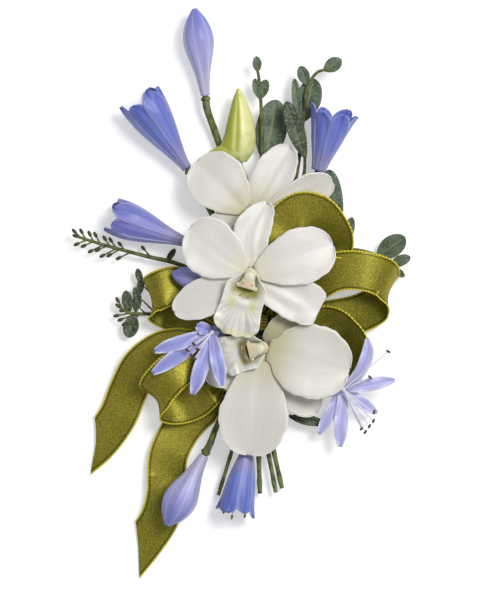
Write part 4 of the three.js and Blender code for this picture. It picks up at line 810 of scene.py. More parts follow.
# %% Florets
FLORETS = {
    "top_bud": dict(kind="bud", at=(-0.063, 0.345, 0.2), heading=97, rise=3, length=0.151, width=0.0514,
                    slot=(-1, "high"), via=[(-0.041, 0.267, 0.12), (-0.014, 0.16, 0.16)], nods=True),
    "upper_left_floret": dict(kind="trumpet", at=(-0.094, 0.22, 0.23), heading=124, rise=4, length=0.151,
                              width=0.0816, base=0.0171, closing=0.15, slot=(-1, "low"),
                              via=[(-0.046, 0.131, 0.16)], nods=True),
    "left_floret": dict(kind="trumpet", at=(-0.099, 0.095, 0.22), heading=160, rise=3, length=0.1367,
                        width=0.0735, base=0.0188, closing=0.3, slot=(-2, "low"), via=[(-0.054, 0.066, 0.17)],
                        nods=True, skin="violet"),
    "lower_left_bud": dict(kind="bud", at=(-0.065, -0.272, 0.33), heading=242, rise=-2, length=0.1367,
                           width=0.0563, side=("left", -0.194, 0.13), via=[(-0.043, -0.222, 0.24)],
                           nods=True),
    "bottom_bell": dict(kind="trumpet", at=(0.008, -0.266, 0.25), heading=259, rise=-1, length=0.1102,
                        width=0.0612, base=0.0204, below=-0.7, anthers=4, neck=0.9, parting=0.68,
                        rolled=0.12),
    "upper_right_floret": dict(kind="trumpet", at=(0.132, 0.217, 0.25), heading=75, rise=10, length=0.1102,
                               width=0.0755, base=0.0265, slot=(2, "high"), via=[(0.095, 0.14, 0.19)],
                               parting=0.5, rolled=0.14),
    "hidden_floret": dict(kind="bud", at=(-0.045, 0.02, 0.42), heading=165, rise=0, length=0.0776,
                          width=0.0347, slot=(-2, "high"), via=[(-0.034, 0.032, 0.27)], whole=True),
}
print("florets in the table:", len(FLORETS))

# %% [markdown]
# Both shapes are drawn along X and then aimed. A nodding head has a small green cup round its ball, so no gap
# opens when it turns.

# %% Shapes of a floret
HINGE_RADIUS, NECK_RADIUS, STEM_RADIUS = 1.6 * MM, 1.6 * MM, 1.2 * MM
NECK_LENGTH, STEM_APPROACH = 3.2 * MM, 2.4 * MM
BUD_OUTLINE = [0.3, 0.38, 0.5, 0.68, 0.88, 1, 0.93, 0.66, 0.16]
LOBE_REACH = [1.0, 0.94, 0.98, 0.96, 1.0, 0.93]
LOBE_HALF_ANGLE, LOBE_INSET, WALL = 38, 0.4 * MM, 0.5 * MM
CUP_GAP, CUP_WALL = 0.25 * MM, 0.3 * MM


def aimed(points, facts):
    """Points drawn along X, turned to a floret's rise and heading and put in its place."""
    return turned(turned(points, -facts["rise"], axis=1), facts["heading"]) + place(facts["at"])


def closed_bud(facts):
    length, half = facts["length"] * SPRAY_LENGTH, facts["width"] * SPRAY_LENGTH / 2
    flute = lambda share, turn: 1 + 0.05 * cos(6 * turn + 2.5 * share) * sin(pi * share) ** 0.5
    points, faces, along, across, upper = stalk(
        [(0, 0, 0), (length / 2, 0, 0), (length, 0, 0)],
        lambda s: half * smooth_through(BUD_OUTLINE, s), 56, 72, flute,
    )
    turn = np.arctan2(points[:, 2], points[:, 1]) + 2.5 * along / 6
    across = np.abs(((turn / (pi / 3) + 0.5) % 1) * 2 - 1)
    return [(aimed(points, facts), faces, along, across, upper)]


def hinge_cup(facts):
    """A green cup that rides with a floret's neck and hides the ball that it nods on."""
    radius, back = HINGE_RADIUS + CUP_GAP + CUP_WALL / 2, HINGE_RADIUS + CLEARANCE

    def rule(along, across):
        polar = pi * (0.14 + 0.36 * along)
        low = radius * sin(polar)
        return aimed(stack(radius * cos(polar) - back, low * cos(pi * across), low * sin(pi * across)), facts)

    return (*sheet(rule, 8, 28, CUP_WALL, rim=1), 3)


def trumpet(facts):
    length, closing = facts["length"] * SPRAY_LENGTH, facts.get("closing", 0.0)
    base, mouth = facts["base"] * SPRAY_LENGTH / 2, facts["width"] * SPRAY_LENGTH / 2
    neck, rolled, parting = facts.get("neck", 1.4), facts.get("rolled", 0.06), facts.get("parting", 0.72)
    shapes = []
    for lobe, reach in enumerate(LOBE_REACH):
        inset, own = LOBE_INSET * (lobe % 2), sin(2.4 * lobe + 1)

        def rule(along, across):
            fold = np.clip((along - parting) / (1 - parting), 0, 1)
            half_angle = radians(LOBE_HALF_ANGLE) * np.sqrt(np.clip(1 - 0.97 * fold**3.4, 0, 1))
            turn = radians(60 * lobe) + half_angle * across + 0.12 * own * fold**2
            share = along * reach
            flare = base + (mouth - base) * sin(pi / 2 * share) ** neck
            flare = flare * (1 - closing * (np.maximum(share - 0.6, 0) / 0.4) ** 2)
            roll = rolled * mouth * np.clip((along - 0.8) / 0.2, 0, 1) ** 2 * (0.7 + 0.3 * own)
            ridge = 0.3 * MM * bulge(across, 0.2) * along
            crumple = 0.06 * mouth * sin(4 * across + 9 * along + 2 * lobe) * fold
            radius = flare * 0.95 + roll - inset + ridge + crumple
            return aimed(stack(length * share, radius * cos(turn), radius * sin(turn)), facts)

        shapes.append((*sheet(rule, 30, 16, WALL), 0))
    for k in range(facts.get("anthers", 0)):
        turn = radians(80 * k + 20)
        end = array([length * (0.99 + 0.05 * (k % 2)), mouth * 0.62 * cos(turn), mouth * 0.62 * sin(turn)])
        line = aimed([[length * 0.5, 0, 0], [length * 0.75, end[1] * 0.4, end[2] * 0.4], end], facts)
        shapes.append((*stalk(line, lambda s: (0.32 - 0.08 * s) * MM, 12, 8), 1))
        shapes.append((*lump(line[-1], (0.5 * MM, 1.05 * MM), (0.3, 1, 0.4 * (k - 1))), 2))
    return shapes


print("floret shapes: bud and trumpet")

# %% [markdown]
# A stem ends in a slot of the bundle, at the tape's side, or under the bundle.

# %% Stems of a floret


def side_seat(side, up, out):
    """The last two places of a stem that meets the tape's side squarely."""
    edge, away = (tape_low[0] - STEM_SEAT, -1) if side == "left" else (tape_high[0] + STEM_SEAT, 1)
    seat = array([edge, up * SPRAY_LENGTH + LAYOUT_SHIFT[1], out * SPRAY_DEPTH])
    return [seat + [away * STEM_APPROACH, 0, 0], seat]


def stem_ends(facts):
    if "slot" in facts:
        slot = top_slot(*facts["slot"])
        return [slot + [0, STEM_APPROACH, 0], slot]
    if "side" in facts:
        return side_seat(*facts["side"])
    seat = array([tape_middle[0] + facts["below"] * SLOT_PITCH, bundle_bottom - STEM_SEAT, tape_middle[2]])
    return [seat - [0, STEM_RADIUS, 0], seat]


def floret_stem(facts, start, behind):
    places = [start, behind, *(place(via) for via in facts.get("via", [])), *stem_ends(facts)]

    def crinkled(s):
        taper = NECK_RADIUS + (STEM_RADIUS - NECK_RADIUS) * np.minimum(2 * s, 1)
        return taper * (1 + 0.05 * sin(47 * s) * s**0.3)

    ball = [lump(start, (HINGE_RADIUS, HINGE_RADIUS), behind - start)] if facts.get("nods") else []
    return [stalk(places, crinkled, 72, 14)] + ball


print("stems", round(2 * STEM_RADIUS / MM, 1), "mm thick")

# %% [markdown]
# Each floret is wired and taped on its own, so its stem is green, crinkled tape. Threads and pollen are more
# finishes, which the open stars share.

# %% Taped stems


def stem_finish(name, light, dark):
    made = Finish(name, light, Roughness=0.6)
    turns, blotch = made.noise(900.0, detail=4.0), made.noise(320.0, detail=3.0)
    made.coat(made.band(blotch, 0.42, 0.62), dark)
    made.coat(made.band(turns, 0.5, 0.7, 0.0, 0.5), (0.52, 0.56, 0.32))
    made.relief(blotch, 0.5, 0.8)
    made.relief(turns, 0.25, 0.8)
    return made


stem_green = stem_finish("stem_green", (0.42, 0.47, 0.24), (0.24, 0.28, 0.13))
filament_white = grained("filament_white", (0.93, 0.92, 0.95), (0.82, 0.82, 0.90), 800.0, Roughness=0.4)
POLLEN = dict(scale=2500.0, relief=(3000.0, 0.1, 0.8), Roughness=0.8)
anther_brown = grained("anther_brown", (0.20, 0.16, 0.14), (0.42, 0.34, 0.22), **POLLEN)
anther_gold = grained("anther_gold", (0.62, 0.50, 0.26), (0.40, 0.29, 0.12), **POLLEN)
print("stem, thread and pollen finishes made")

# %% [markdown]
# Now the florets are dressed. A bud that doesn't nod is one piece with its stem; the others have a head and a
# stem, and four heads ride on bodies of their own.

# %% Dress the florets
for flower, facts in FLORETS.items():
    bud, nods = facts["kind"] == "bud", facts.get("nods")
    shapes = closed_bud(facts) if bud else trumpet(facts)
    skins = [blues["bloom_" + ("pale" if bud else facts.get("skin", "blue"))], filament_white, anther_gold,
             stem_green]
    back_off = (HINGE_RADIUS if nods else 0) + CLEARANCE
    start = 0.9 * MM if facts.get("whole") else -back_off
    ends = aimed([[start, 0, 0], [-back_off - NECK_LENGTH, 0, 0]], facts)
    stem = floret_stem(facts, *ends)
    if facts.get("whole"):
        dressed(flower, shapes + [(*shape, 3) for shape in stem], skins)
    else:
        body, cup = (f"{flower}_head", [hinge_cup(facts)]) if nods else ("spray", [])
        dressed(flower, shapes + cup, skins, body)
        dressed(f"{flower}_stem", stem, stem_green)
print("florets:", len(FLORETS))

# %% [markdown]
# Two florets are wide open. Their six straps spread like a star from a short tube, and five of each are
# drawn.
# They have long stamens: pale threads that end in small brown anthers. Each strap is a cupped sheet along a
# bent line.

# %% Open stars
STARS = {
    "left_star": dict(
        bow=0.0278, stamen_rise=0.0611, throat=(-0.051, -0.061, 0.48), base=(-0.034, -0.061, 0.3),
        side=("left", -0.069, 0.15),
        lobes=[((-0.15, -0.093, 0.52), 0.022, 0.0833), ((-0.153, -0.131, 0.49), 0.0237, 0.0833),
               ((-0.084, -0.167, 0.6), 0.0237, 0.1111), ((-0.034, -0.152, 0.64), 0.022, 0.1389),
               ((-0.078, -0.05, 0.54), 0.0204, 0.0556)],
        tips=[(-0.093, -0.092, 0.62), (-0.082, -0.081, 0.66), (-0.075, -0.09, 0.66), (-0.086, -0.1, 0.63),
              (-0.081, -0.106, 0.66)]),
    "right_star": dict(
        bow=0.0278, stamen_rise=0.1028, throat=(0.173, -0.159, 0.33), base=(0.135, -0.166, 0.25),
        side=("right", -0.172, 0.17),
        lobes=[((0.214, -0.072, 0.55), 0.0204, 0.0556, (0.222, -0.12, 0.54)),
               ((0.262, -0.143, 0.36), 0.0204, 0.0833), ((0.168, -0.258, 0.3), 0.022, 0.0833),
               ((0.132, -0.236, 0.26), 0.0188, 0.0556), ((0.232, -0.2, 0.22), 0.0188, 0.0556)],
        tips=[(0.211, -0.232, 0.42), (0.225, -0.213, 0.42), (0.226, -0.198, 0.44), (0.219, -0.138, 0.47),
              (0.205, -0.226, 0.4), (0.218, -0.222, 0.44), (0.25, -0.094, 0.5)], pale=True),
}
STRAP_OUTLINE = [0.5, 0.84, 1.04, 1.1, 0.96, 0.36]
STRAP_CUP, STRAP_THICKNESS = 0.125, 0.6 * MM


def strap(start, end, width, arch, via=None, phase=0.0):
    crest = (place(via) if via else (start + end) / 2) + [0, 0, arch * SPRAY_DEPTH]
    width = width * SPRAY_LENGTH

    def rule(along, across):
        t = along[..., None]
        at = (1 - t) ** 2 * start + 2 * t * (1 - t) * crest + t**2 * end
        side = unit(np.cross([0.0, 0.0, 1.0], 2 * (1 - t) * (crest - start) + 2 * t * (end - crest)))
        half = width / 2 * smooth_through(STRAP_OUTLINE, along)
        wave = 0.15 * width * sine(2.2 * along + phase) * across * np.abs(across)
        lift = width * STRAP_CUP * across**2 * along + wave - 0.25 * MM * bulge(across, 0.2)
        return at + side * (half * across)[..., None] + [0, 0, 1] * lift[..., None]

    return sheet(rule, 28, 12, STRAP_THICKNESS)


def stamens(foot, tips, bow):
    shapes = [lump(foot, (1.0 * MM, 1.1 * MM))]
    for tip in tips:
        thread = [foot, (foot + tip) / 2 + [0, 0, bow], tip]
        shapes.append(stalk(thread, lambda s: (0.34 - 0.1 * s) * MM, 16, 8))
        ahead = unit(tip - foot)
        shapes.append((*lump(tip, (0.55 * MM, 1.15 * MM), np.cross(ahead, [0, 0, 1]) + 0.4 * ahead), 1))
    return shapes


for flower, facts in STARS.items():
    throat, base = place(facts["throat"]), place(facts["base"])
    tube = stalk([base, (base + throat) / 2, throat], lambda s: smooth_through([2, 2.4, 3], s) * MM, 12, 24)
    lobes = [strap(throat, place(to), *rest, phase=0.23 * k) for k, (to, *rest) in enumerate(facts["lobes"])]
    dressed(flower, [tube, *lobes], blues["star_pale" if facts.get("pale") else "star_blue"])
    ahead = unit(throat - base)
    start = base - ahead * CLEARANCE
    dressed(f"{flower}_stem", floret_stem(facts, start, start - ahead * NECK_LENGTH), stem_green)
    foot = throat + [0, 0, facts["stamen_rise"] * SPRAY_DEPTH]
    threads = stamens(foot, [place(tip) for tip in facts["tips"]], facts["bow"] * SPRAY_DEPTH)
    dressed(f"{flower}_stamens", threads, [filament_white, anther_brown])
print("stars:", len(STARS))

# %% [markdown]
# The bow is one satin ribbon, 16 mm wide, with a stitched gold edge. Each loop and tail is a sheet that
# follows a curve through stations. Every station says which way the ribbon lies across. Where it is tied the
# ribbon keeps its whole width, drawn up into pleats, so its cloth is as long and as wide as the cut piece.

# %% Ribbon finish
olive_satin = Finish("olive_satin", (0.43, 0.41, 0.10), Roughness=0.4, Metallic=0.5, Sheen_Weight=0.25,
                     Sheen_Roughness=0.3, Sheen_Tint=tone(0.85, 0.80, 0.40), Specular_IOR_Level=0.7,
                     Specular_Tint=tone(0.98, 0.92, 0.60))
along, across, wide = olive_satin.shares()
weave = olive_satin.stretched(1.0, olive_satin.times(across, 30.0), olive_satin.times(along, 330.0),
                              detail=1.0)
# A fine grain of threads, partly real grain and partly painted light: its brightest specks are painted glints
# in the sheen's gold, its darkest painted shade.
painted_glint_and_shade_grain = olive_satin.noise(1900.0, detail=1.0)
olive_satin.coat(olive_satin.band(weave, 0.3, 0.7), (0.62, 0.59, 0.22))
olive_satin.coat(olive_satin.band(olive_satin.noise(60.0), 0.3, 0.7, 0.0, 0.3), (0.40, 0.38, 0.07))
olive_satin.coat(olive_satin.band(painted_glint_and_shade_grain, 0.52, 0.68, 0.0, 0.5), (0.74, 0.70, 0.32))
olive_satin.coat(olive_satin.band(painted_glint_and_shade_grain, 0.34, 0.46, 0.4, 0.0), (0.28, 0.26, 0.05))
# A thin dark line just inside each edge.
dark_line_inside_edge = olive_satin.times(olive_satin.band(wide, 0.82, 0.88, 0.0, 0.75),
                         olive_satin.band(wide, 0.9, 0.95, 1.0, 0.0))
olive_satin.coat(dark_line_inside_edge, (0.20, 0.18, 0.04))
olive_satin.relief(weave, 0.06, 0.35)

# Bright thread with a dark gap once a stitch: the edge's share along it counts stitches.
gold_edge = grained("gold_edge", (0.92, 0.88, 0.24), (0.78, 0.73, 0.16), 1500.0, Roughness=0.35,
                    Metallic=0.15)
turn = gold_edge.math("SINE", gold_edge.times(gold_edge.trait("along"), 2 * pi))
gold_edge.coat(gold_edge.band(turn, -0.8, -0.1, 0.5, 0.0), (0.40, 0.37, 0.07))
print("ribbon finishes: satin and gold edge")

# %% [markdown]
# Each station holds a place and two angles, the heading and the lean of the ribbon's width there. A loop is
# tied at both ends, a tail at one, and the tail's cut slants.

# %% Ribbon stations
RIBBON_WIDTH, RIBBON_THICKNESS = 16 * MM, 0.3 * MM
TIE_LENGTH, GATHERED_SHARE, GATHERED_LENGTH = 14 * MM, 0.34, 3 * MM
PLEAT_SHARE, PLEATS = 0.083, 3
KNOT_RADII = array([7, 4.6, 2.2]) * MM
WIRE_RADIUS = 0.4 * MM
knot_ring = KNOT_RADII[2] + CLEARANCE + WIRE_RADIUS
knot_middle = array([tape_middle[0], -0.044 * SPRAY_LENGTH + LAYOUT_SHIFT[1],
                     tape_high[2] + 2 * CLEARANCE + knot_ring + WIRE_RADIUS])

RIBBONS = {
    "upper_right_loop": dict(start=("knot", 60, 150), end=("right", -0.042, 0.17, 90), stations=[
        (0.056, 0.045, 0.45, 158, 0), (0.061, 0.083, 0.5, 146, 2), (0.07, 0.12, 0.5, 128, 4),
        (0.099, 0.145, 0.52, 106, 8), (0.128, 0.142, 0.5, 86, 14), (0.149, 0.122, 0.45, 66, 30),
        (0.162, 0.1, 0.38, 54, 44), (0.158, 0.082, 0.3, 56, 40), (0.137, 0.073, 0.23, 84, 24),
        (0.105, 0.045, 0.2, 112, 8)]),
    "right_loop": dict(start=("knot", -20, 70), end=("right", -0.067, 0.1, 90), stations=[
        (0.1, 0.002, 0.34, 106, 0), (0.16, 0.042, 0.46, 94, 0), (0.215, 0.042, 0.48, 84, 0),
        (0.246, 0.03, 0.4, 72, 0), (0.254, 0.012, 0.27, 68, -6), (0.24, -0.008, 0.16, 74, -8),
        (0.2, -0.03, 0.1, 84, -2), (0.15, -0.04, 0.08, 90, 0), (0.11, -0.048, 0.08, 92, 0)]),
    "lower_right_loop": dict(start=("right", -0.094, 0.17, 90), end=("right", -0.12, 0.12, -90), stations=[
        (0.095, -0.072, 0.23, 104, 0), (0.145, -0.048, 0.27, 84, 18), (0.18, -0.058, 0.31, 44, 52),
        (0.195, -0.092, 0.29, 8, 44), (0.18, -0.112, 0.22, -30, 36), (0.145, -0.116, 0.14, -76, 14),
        (0.1, -0.116, 0.1, -94, 2)]),
    "left_loop": dict(start=("knot", 180, 90), end=("left", -0.039, 0.15, 90), stations=[
        (-0.052, -0.004, 0.21, 78, 0), (-0.09, 0.014, 0.26, 90, 0), (-0.12, 0.018, 0.32, 99, -2),
        (-0.144, 0.01, 0.33, 104, -4), (-0.156, 0.001, 0.26, 105, -5), (-0.151, -0.01, 0.17, 105, -5),
        (-0.13, -0.022, 0.13, 102, -4), (-0.096, -0.03, 0.12, 94, 0)]),
    "lower_left_loop": dict(start=("left", -0.112, 0.185, 90), end=("left", -0.134, 0.17, 90), stations=[
        (-0.058, -0.102, 0.3, 100, 0), (-0.1, -0.116, 0.43, 124, 0), (-0.131, -0.142, 0.46, 132, 0),
        (-0.147, -0.164, 0.4, 130, 0), (-0.145, -0.18, 0.3, 124, 0), (-0.126, -0.186, 0.22, 118, 0),
        (-0.102, -0.185, 0.18, 108, 2), (-0.08, -0.176, 0.19, 96, 4), (-0.058, -0.155, 0.22, 82, 2)]),
    "left_tail": dict(start=("left", -0.106, 0.09, 90), cut=0.0776, stations=[
        (-0.054, -0.108, 0.14, 94, 0), (-0.086, -0.091, 0.25, 104, 0), (-0.13, -0.09, 0.25, 120, 0),
        (-0.172, -0.118, 0.21, 136, -3), (-0.195, -0.16, 0.095, 152, -3), (-0.214, -0.206, 0.085, 148, -6),
        (-0.246, -0.25, 0.06, 132, -4), (-0.282, -0.281, 0.02, 126, 0)]),
    "lower_tail": dict(start=("left", -0.175, 0.1, 90), cut=0.0735, stations=[
        (-0.07, -0.192, 0.08, 124, 0), (-0.104, -0.228, 0.08, 148, 0), (-0.126, -0.272, 0.1, 162, 4),
        (-0.13, -0.31, 0.085, 176, 12), (-0.131, -0.34, 0.08, 174, 10), (-0.142, -0.382, 0.06, 160, 5),
        (-0.168, -0.422, 0.035, 142, 0), (-0.202, -0.464, 0.02, 134, 0)]),
}


def gathered_end(end):
    """The two stations of a tied end, seat first: at the tape's side or at the knot."""
    if end[0] == "knot":
        ahead = turned([1.0, 0, 0], end[1])
        seat = knot_middle + ahead * KNOT_RADII * [1, 1, 0] + ahead * STEM_SEAT
    else:
        away, seat = side_seat(*end[:3])
        ahead = unit(away - seat)
    return [(seat, end[-1], 0), (seat + ahead * GATHERED_LENGTH, end[-1], 0)]


print("ribbons in the table:", len(RIBBONS))

# %% [markdown]
# The gold edge is a row of small stitched beads, so it is a thin cord whose thickness swells once a stitch.
# It is a piece of its own that goes with the cloth.

# %% Ribbons
STITCH_PITCH, EDGE_RADIUS, EDGE_POINTS = 1.3 * MM, 0.38 * MM, 90


def ribbon(start, stations, end=None, cut=0.0):
    """A ribbon's cloth, its two edges, its length and its flat area."""
    rows = gathered_end(start) + [(place(s[:3]), *s[3:]) for s in stations]
    rows += gathered_end(end)[::-1] if end else []
    curve = curve_through([row[0] for row in rows])
    length, cut = curve[1][-1], cut * SPRAY_LENGTH
    leanings = radians([row[1:] for row in rows]).T

    def rule(along, across):
        share = along * (1 - cut / length * (1 + across) * 0.5)
        at, ahead, spot = sampled(curve, share)
        turn, lean = (np.interp(spot, np.arange(len(rows)), each) for each in leanings)
        side = stack(cos(turn) * cos(lean), sin(turn) * cos(lean), sin(lean))
        side = unit(side - ahead * (side * ahead).sum(-1, keepdims=True))
        to_end = (np.minimum(share, 1 - share) if end else share) * length
        ease = np.clip(to_end / TIE_LENGTH, 0, 1)
        opened = GATHERED_SHARE + (1 - GATHERED_SHARE) * ease**2 * (3 - 2 * ease)
        half = RIBBON_WIDTH / 2 * opened * across
        pleat = RIBBON_WIDTH * PLEAT_SHARE * np.sqrt(1 - opened**2) * cos(PLEATS * pi * across)
        return at + side * half[..., None] + np.cross(ahead, side) * pleat[..., None]

    count = length / STITCH_PITCH
    edges = []
    for way in (-1.0, 1.0):
        line = rule(linspace(0, 1, EDGE_POINTS)[:, None], np.full((EDGE_POINTS, 1), way))[:, 0]
        edge = stalk(line, lambda s: EDGE_RADIUS * (0.86 + 0.24 * sine(count * s)), int(count * 5), 8)
        edges.append((*edge[:2], edge[2] * count, *edge[3:]))
    return sheet(rule, 180, 24, RIBBON_THICKNESS, rim=0.8), edges, length, RIBBON_WIDTH * (length - cut / 2)


for name, facts in RIBBONS.items():
    cloth, edges, length, area = ribbon(**facts)
    cloth_piece = dressed(name, [cloth], olive_satin)
    edge_piece = piece(f"{name}_gold_edges", edges, gold_edge)
    print(name, "flat", round(RIBBON_WIDTH / MM, 1), "x", round(length / MM, 1), "mm")

# %% [markdown]
# The bow's middle is the same ribbon, folded back and forth in three layers and drawn together by a wire.

# %% Knot and tie wire
KNOT_LAYERS = 3
LAYER_GAP, FOLD_INSET = 1.3 * MM, 1.2 * MM


def knot_rule(along, across):
    layer = along * KNOT_LAYERS
    whole = np.minimum(layer.astype(int), KNOT_LAYERS - 1)
    step = layer - whole
    ease = step * step * (3 - 2 * step)
    x = (KNOT_RADII[0] - FOLD_INSET) * cos(pi * step) * np.where(whole % 2 == 0, -1, 1)
    z = (whole + ease - KNOT_LAYERS / 2) * LAYER_GAP
    narrow = np.sqrt(np.clip(1 - (x / KNOT_RADII[0]) ** 2, 0.15, 1)) * (0.8 + 0.2 * np.abs(x) / KNOT_RADII[0])
    y = KNOT_RADII[1] * narrow * across
    pleat = 0.6 * MM * cos(5 * pi * across)
    return stack(x, y, z + pleat) + knot_middle


knot_cloth = dressed("ribbon_knot", [sheet(knot_rule, 72, 32, RIBBON_THICKNESS, rim=0.8)], olive_satin)

wire_metal = grained("wire_metal", (0.62, 0.64, 0.55), (0.42, 0.46, 0.36), 900.0, Roughness=0.35,
                     Metallic=0.8)
turn = linspace(0, 2 * pi, 25)
wire_line = stack(0 * turn, (KNOT_RADII[1] + 2 * CLEARANCE + WIRE_RADIUS) * cos(turn),
                  (knot_ring + CLEARANCE) * sin(turn)) + knot_middle
dressed("tie_wire", [stalk(wire_line, WIRE_RADIUS, 96, 10)], wire_metal)

# %% [markdown]
# Under the flowers the stems run side by side in one bundle. Four cut ends stick out below.

# %% Bundle
CUT_ENDS = [((-0.005, -0.225, 0.13), (-0.041, -0.342, 0.12), 0.0033),
            ((0.027, -0.225, 0.14), (0.031, -0.339, 0.1), 0.0041),
            ((0.037, -0.225, 0.14), (0.058, -0.337, 0.13), 0.0037),
            ((0.044, -0.22, 0.13), (0.069, -0.33, 0.1), 0.0041)]
BUNDLED_RADIUS = 1.75 * MM
bundle = []
for column in range(-2, 3):
    for row in SLOT_ROWS:
        top = top_slot(column, row) - [0, STEM_SEAT, 0]
        low = top - [0, BUNDLE_LENGTH, 0]
        line = [low, (low + top) / 2, top]
        bundle.append(stalk(line, lambda s: BUNDLED_RADIUS * (1 + 0.03 * sin(9 * s)), 30, 16))
for start, end, radius in CUT_ENDS:
    start, end = place(start), place(end)
    knobbly = lambda s: radius * SPRAY_LENGTH * (1 + 0.08 * sin(17 * s) + 0.05 * sin(31 * s + 1))
    bundle.append(stalk([start, (start + end) / 2 + [0, 0, 0.2 * MM], end], knobbly, 36, 14))
dressed("stem_bundle", bundle, stem_green)
print("bundle of", len(bundle), "stems")

# %% [markdown]
# The tape is a sleeve whose turns overlap, so its surface steps up once a turn along a slant.

# %% Tape
TAPE_WIDTH, TAPE_HEIGHT, TAPE_CORNER, TAPE_WALL = 16.5 * MM, 8.6 * MM, 2.3 * MM, 0.7 * MM
TAPE_PITCH, TAPE_STEP = 9 * MM, 0.25 * MM
TAPE_ROWS, CORNER_POINTS = 160, 9


def rounded_outline(inset):
    """Points round the tape's section, evenly by angle in each quarter."""
    corner = TAPE_CORNER - inset
    quarters = []
    for quarter, way in enumerate([(1, 1), (-1, 1), (-1, -1), (1, -1)]):
        turn = linspace(quarter, quarter + 1, CORNER_POINTS) * pi / 2
        middle = array(way) * [TAPE_WIDTH / 2 - TAPE_CORNER, TAPE_HEIGHT / 2 - TAPE_CORNER]
        quarters.append(middle + corner * stack(cos(turn), sin(turn)))
    return np.concatenate(quarters)


def tape_sleeve():
    corners, along, across = [], [], []
    for inset, stepped in ((0, 1), (TAPE_WALL, 0)):
        ring = rounded_outline(inset)
        turn = np.arctan2(ring[:, 1] * 2, ring[:, 0]) / (2 * pi)
        for y in linspace(tape_low[1], tape_high[1], TAPE_ROWS + 1):
            step = (y / TAPE_PITCH + turn) % 1 * TAPE_STEP * stepped
            grown = ring * (1 - step / (TAPE_HEIGHT / 2))[:, None]
            corners.append(stack(grown[:, 0], y - tape_middle[1], grown[:, 1]) + tape_middle)
            along.append(np.full(len(ring), y / TAPE_PITCH % 1))
            across.append(turn * 2)
    sides, last, inner = len(ring), TAPE_ROWS * len(ring), (TAPE_ROWS + 1) * len(ring)
    faces = quads(TAPE_ROWS, sides, closed=True, outward=False)
    faces += quads(TAPE_ROWS, sides, closed=True, first=inner)
    for k in range(sides):
        n = (k + 1) % sides
        faces += [(k, n, inner + n, inner + k), (last + n, last + k, inner + last + k, inner + last + n)]
    return np.concatenate(corners), faces, np.concatenate(along), np.concatenate(across), np.ones(2 * inner)


tape_green = stem_finish("tape_green", (0.36, 0.43, 0.23), (0.26, 0.32, 0.16))
dressed("binding_tape", [tape_sleeve()], tape_green)
print("tape", TAPE_WIDTH / MM, "x", TAPE_HEIGHT / MM, "mm")

# %% [markdown]
# A steel pin with a pearl head is kept through the back of the tape.

# %% Pin
PIN_LENGTH, PIN_RADIUS, PEARL_RADIUS = 38 * MM, 0.45 * MM, 2.1 * MM
CUFF_REACH = array([3, 2.4, 1.6]) * MM
pin_low, pin_high = (array(corner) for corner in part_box("corsage_pin"))
pearl_at = (pin_low + pin_high) / 2
pearl_at[0] = pin_high[0] - PEARL_RADIUS
pin_tip = pearl_at - [PIN_LENGTH, 0, 0]
pin_steel = grained("pin_steel", (0.80, 0.80, 0.80), (0.66, 0.66, 0.68), 600.0, Roughness=0.2, Metallic=1.0)
pearl = grained("pearl", (0.93, 0.91, 0.87), (0.87, 0.85, 0.84), 300.0, Roughness=0.15, Coat_Weight=0.5)
shaft = stalk([pin_tip, (pin_tip + pearl_at) / 2, pearl_at],
              lambda s: PIN_RADIUS * np.clip(s / 0.12, 0.08, 1), 40)
ball = (*lump(pearl_at, (PEARL_RADIUS, PEARL_RADIUS), (1, 0, 0), 24, 32), 1)
cuff = stalk([pearl_at - [back, 0, 0] for back in CUFF_REACH], lambda s: (0.7 + 0.5 * s) * MM, 8, 16)
dressed("corsage_pin", [shaft, ball, cuff], [pin_steel, pearl], "pin")
print("pin", PIN_LENGTH / MM, "mm long")

# %% [markdown]
# Eucalyptus leaves are grey-green and speckled, with a yellow-green midrib and darker undersides. Each leaf
# is a sheet folded a little along its midrib. The seeded sprigs carry small oval buds on thin stalks.

# %% Leaf finish


def leaf_finish(name, light, dark, under, rib):
    made = Finish(name, dark, Roughness=0.5)
    along, across, wide = made.shares()
    speck, cloud = made.noise(1100.0, detail=3.0), made.noise(160.0, detail=3.0)
    made.coat(made.band(cloud, 0.35, 0.65), light)
    made.coat(made.band(speck, 0.5, 0.66, 0.0, 0.6), (0.50, 0.56, 0.46))
    made.coat(made.band(speck, 0.34, 0.42, 0.5, 0.0), under)
    made.coat(made.times(made.band(wide, 0.02, 0.11, 0.55, 0.0), made.band(along, 0.5, 1.0, 1.0, 0.2)), rib)
    made.coat(made.math("SUBTRACT", 1.0, made.trait("upper")), under)
    made.relief(cloud, 0.25, 0.5)
    return made


leaf_grey = leaf_finish("leaf_grey", (0.37, 0.44, 0.34), (0.25, 0.32, 0.24), (0.22, 0.27, 0.19),
                        (0.56, 0.61, 0.34))
leaf_dark = leaf_finish("leaf_dark", (0.28, 0.33, 0.20), (0.15, 0.19, 0.10), (0.12, 0.14, 0.07),
                        (0.40, 0.44, 0.20))
twig_brown = stem_finish("twig_brown", (0.40, 0.42, 0.22), (0.26, 0.26, 0.12))
seed_skin = grained("seed_skin", (0.30, 0.32, 0.13), (0.16, 0.17, 0.07), 1100.0, (1500.0, 0.1, 0.6),
                    Roughness=0.5)
print("leaf finishes: grey and dark")

# %% [markdown]
# A sprig is a stem, its leaves and its seeds. Each leaf has its foot, its tip and its width, and its fold
# where that isn't the usual one.

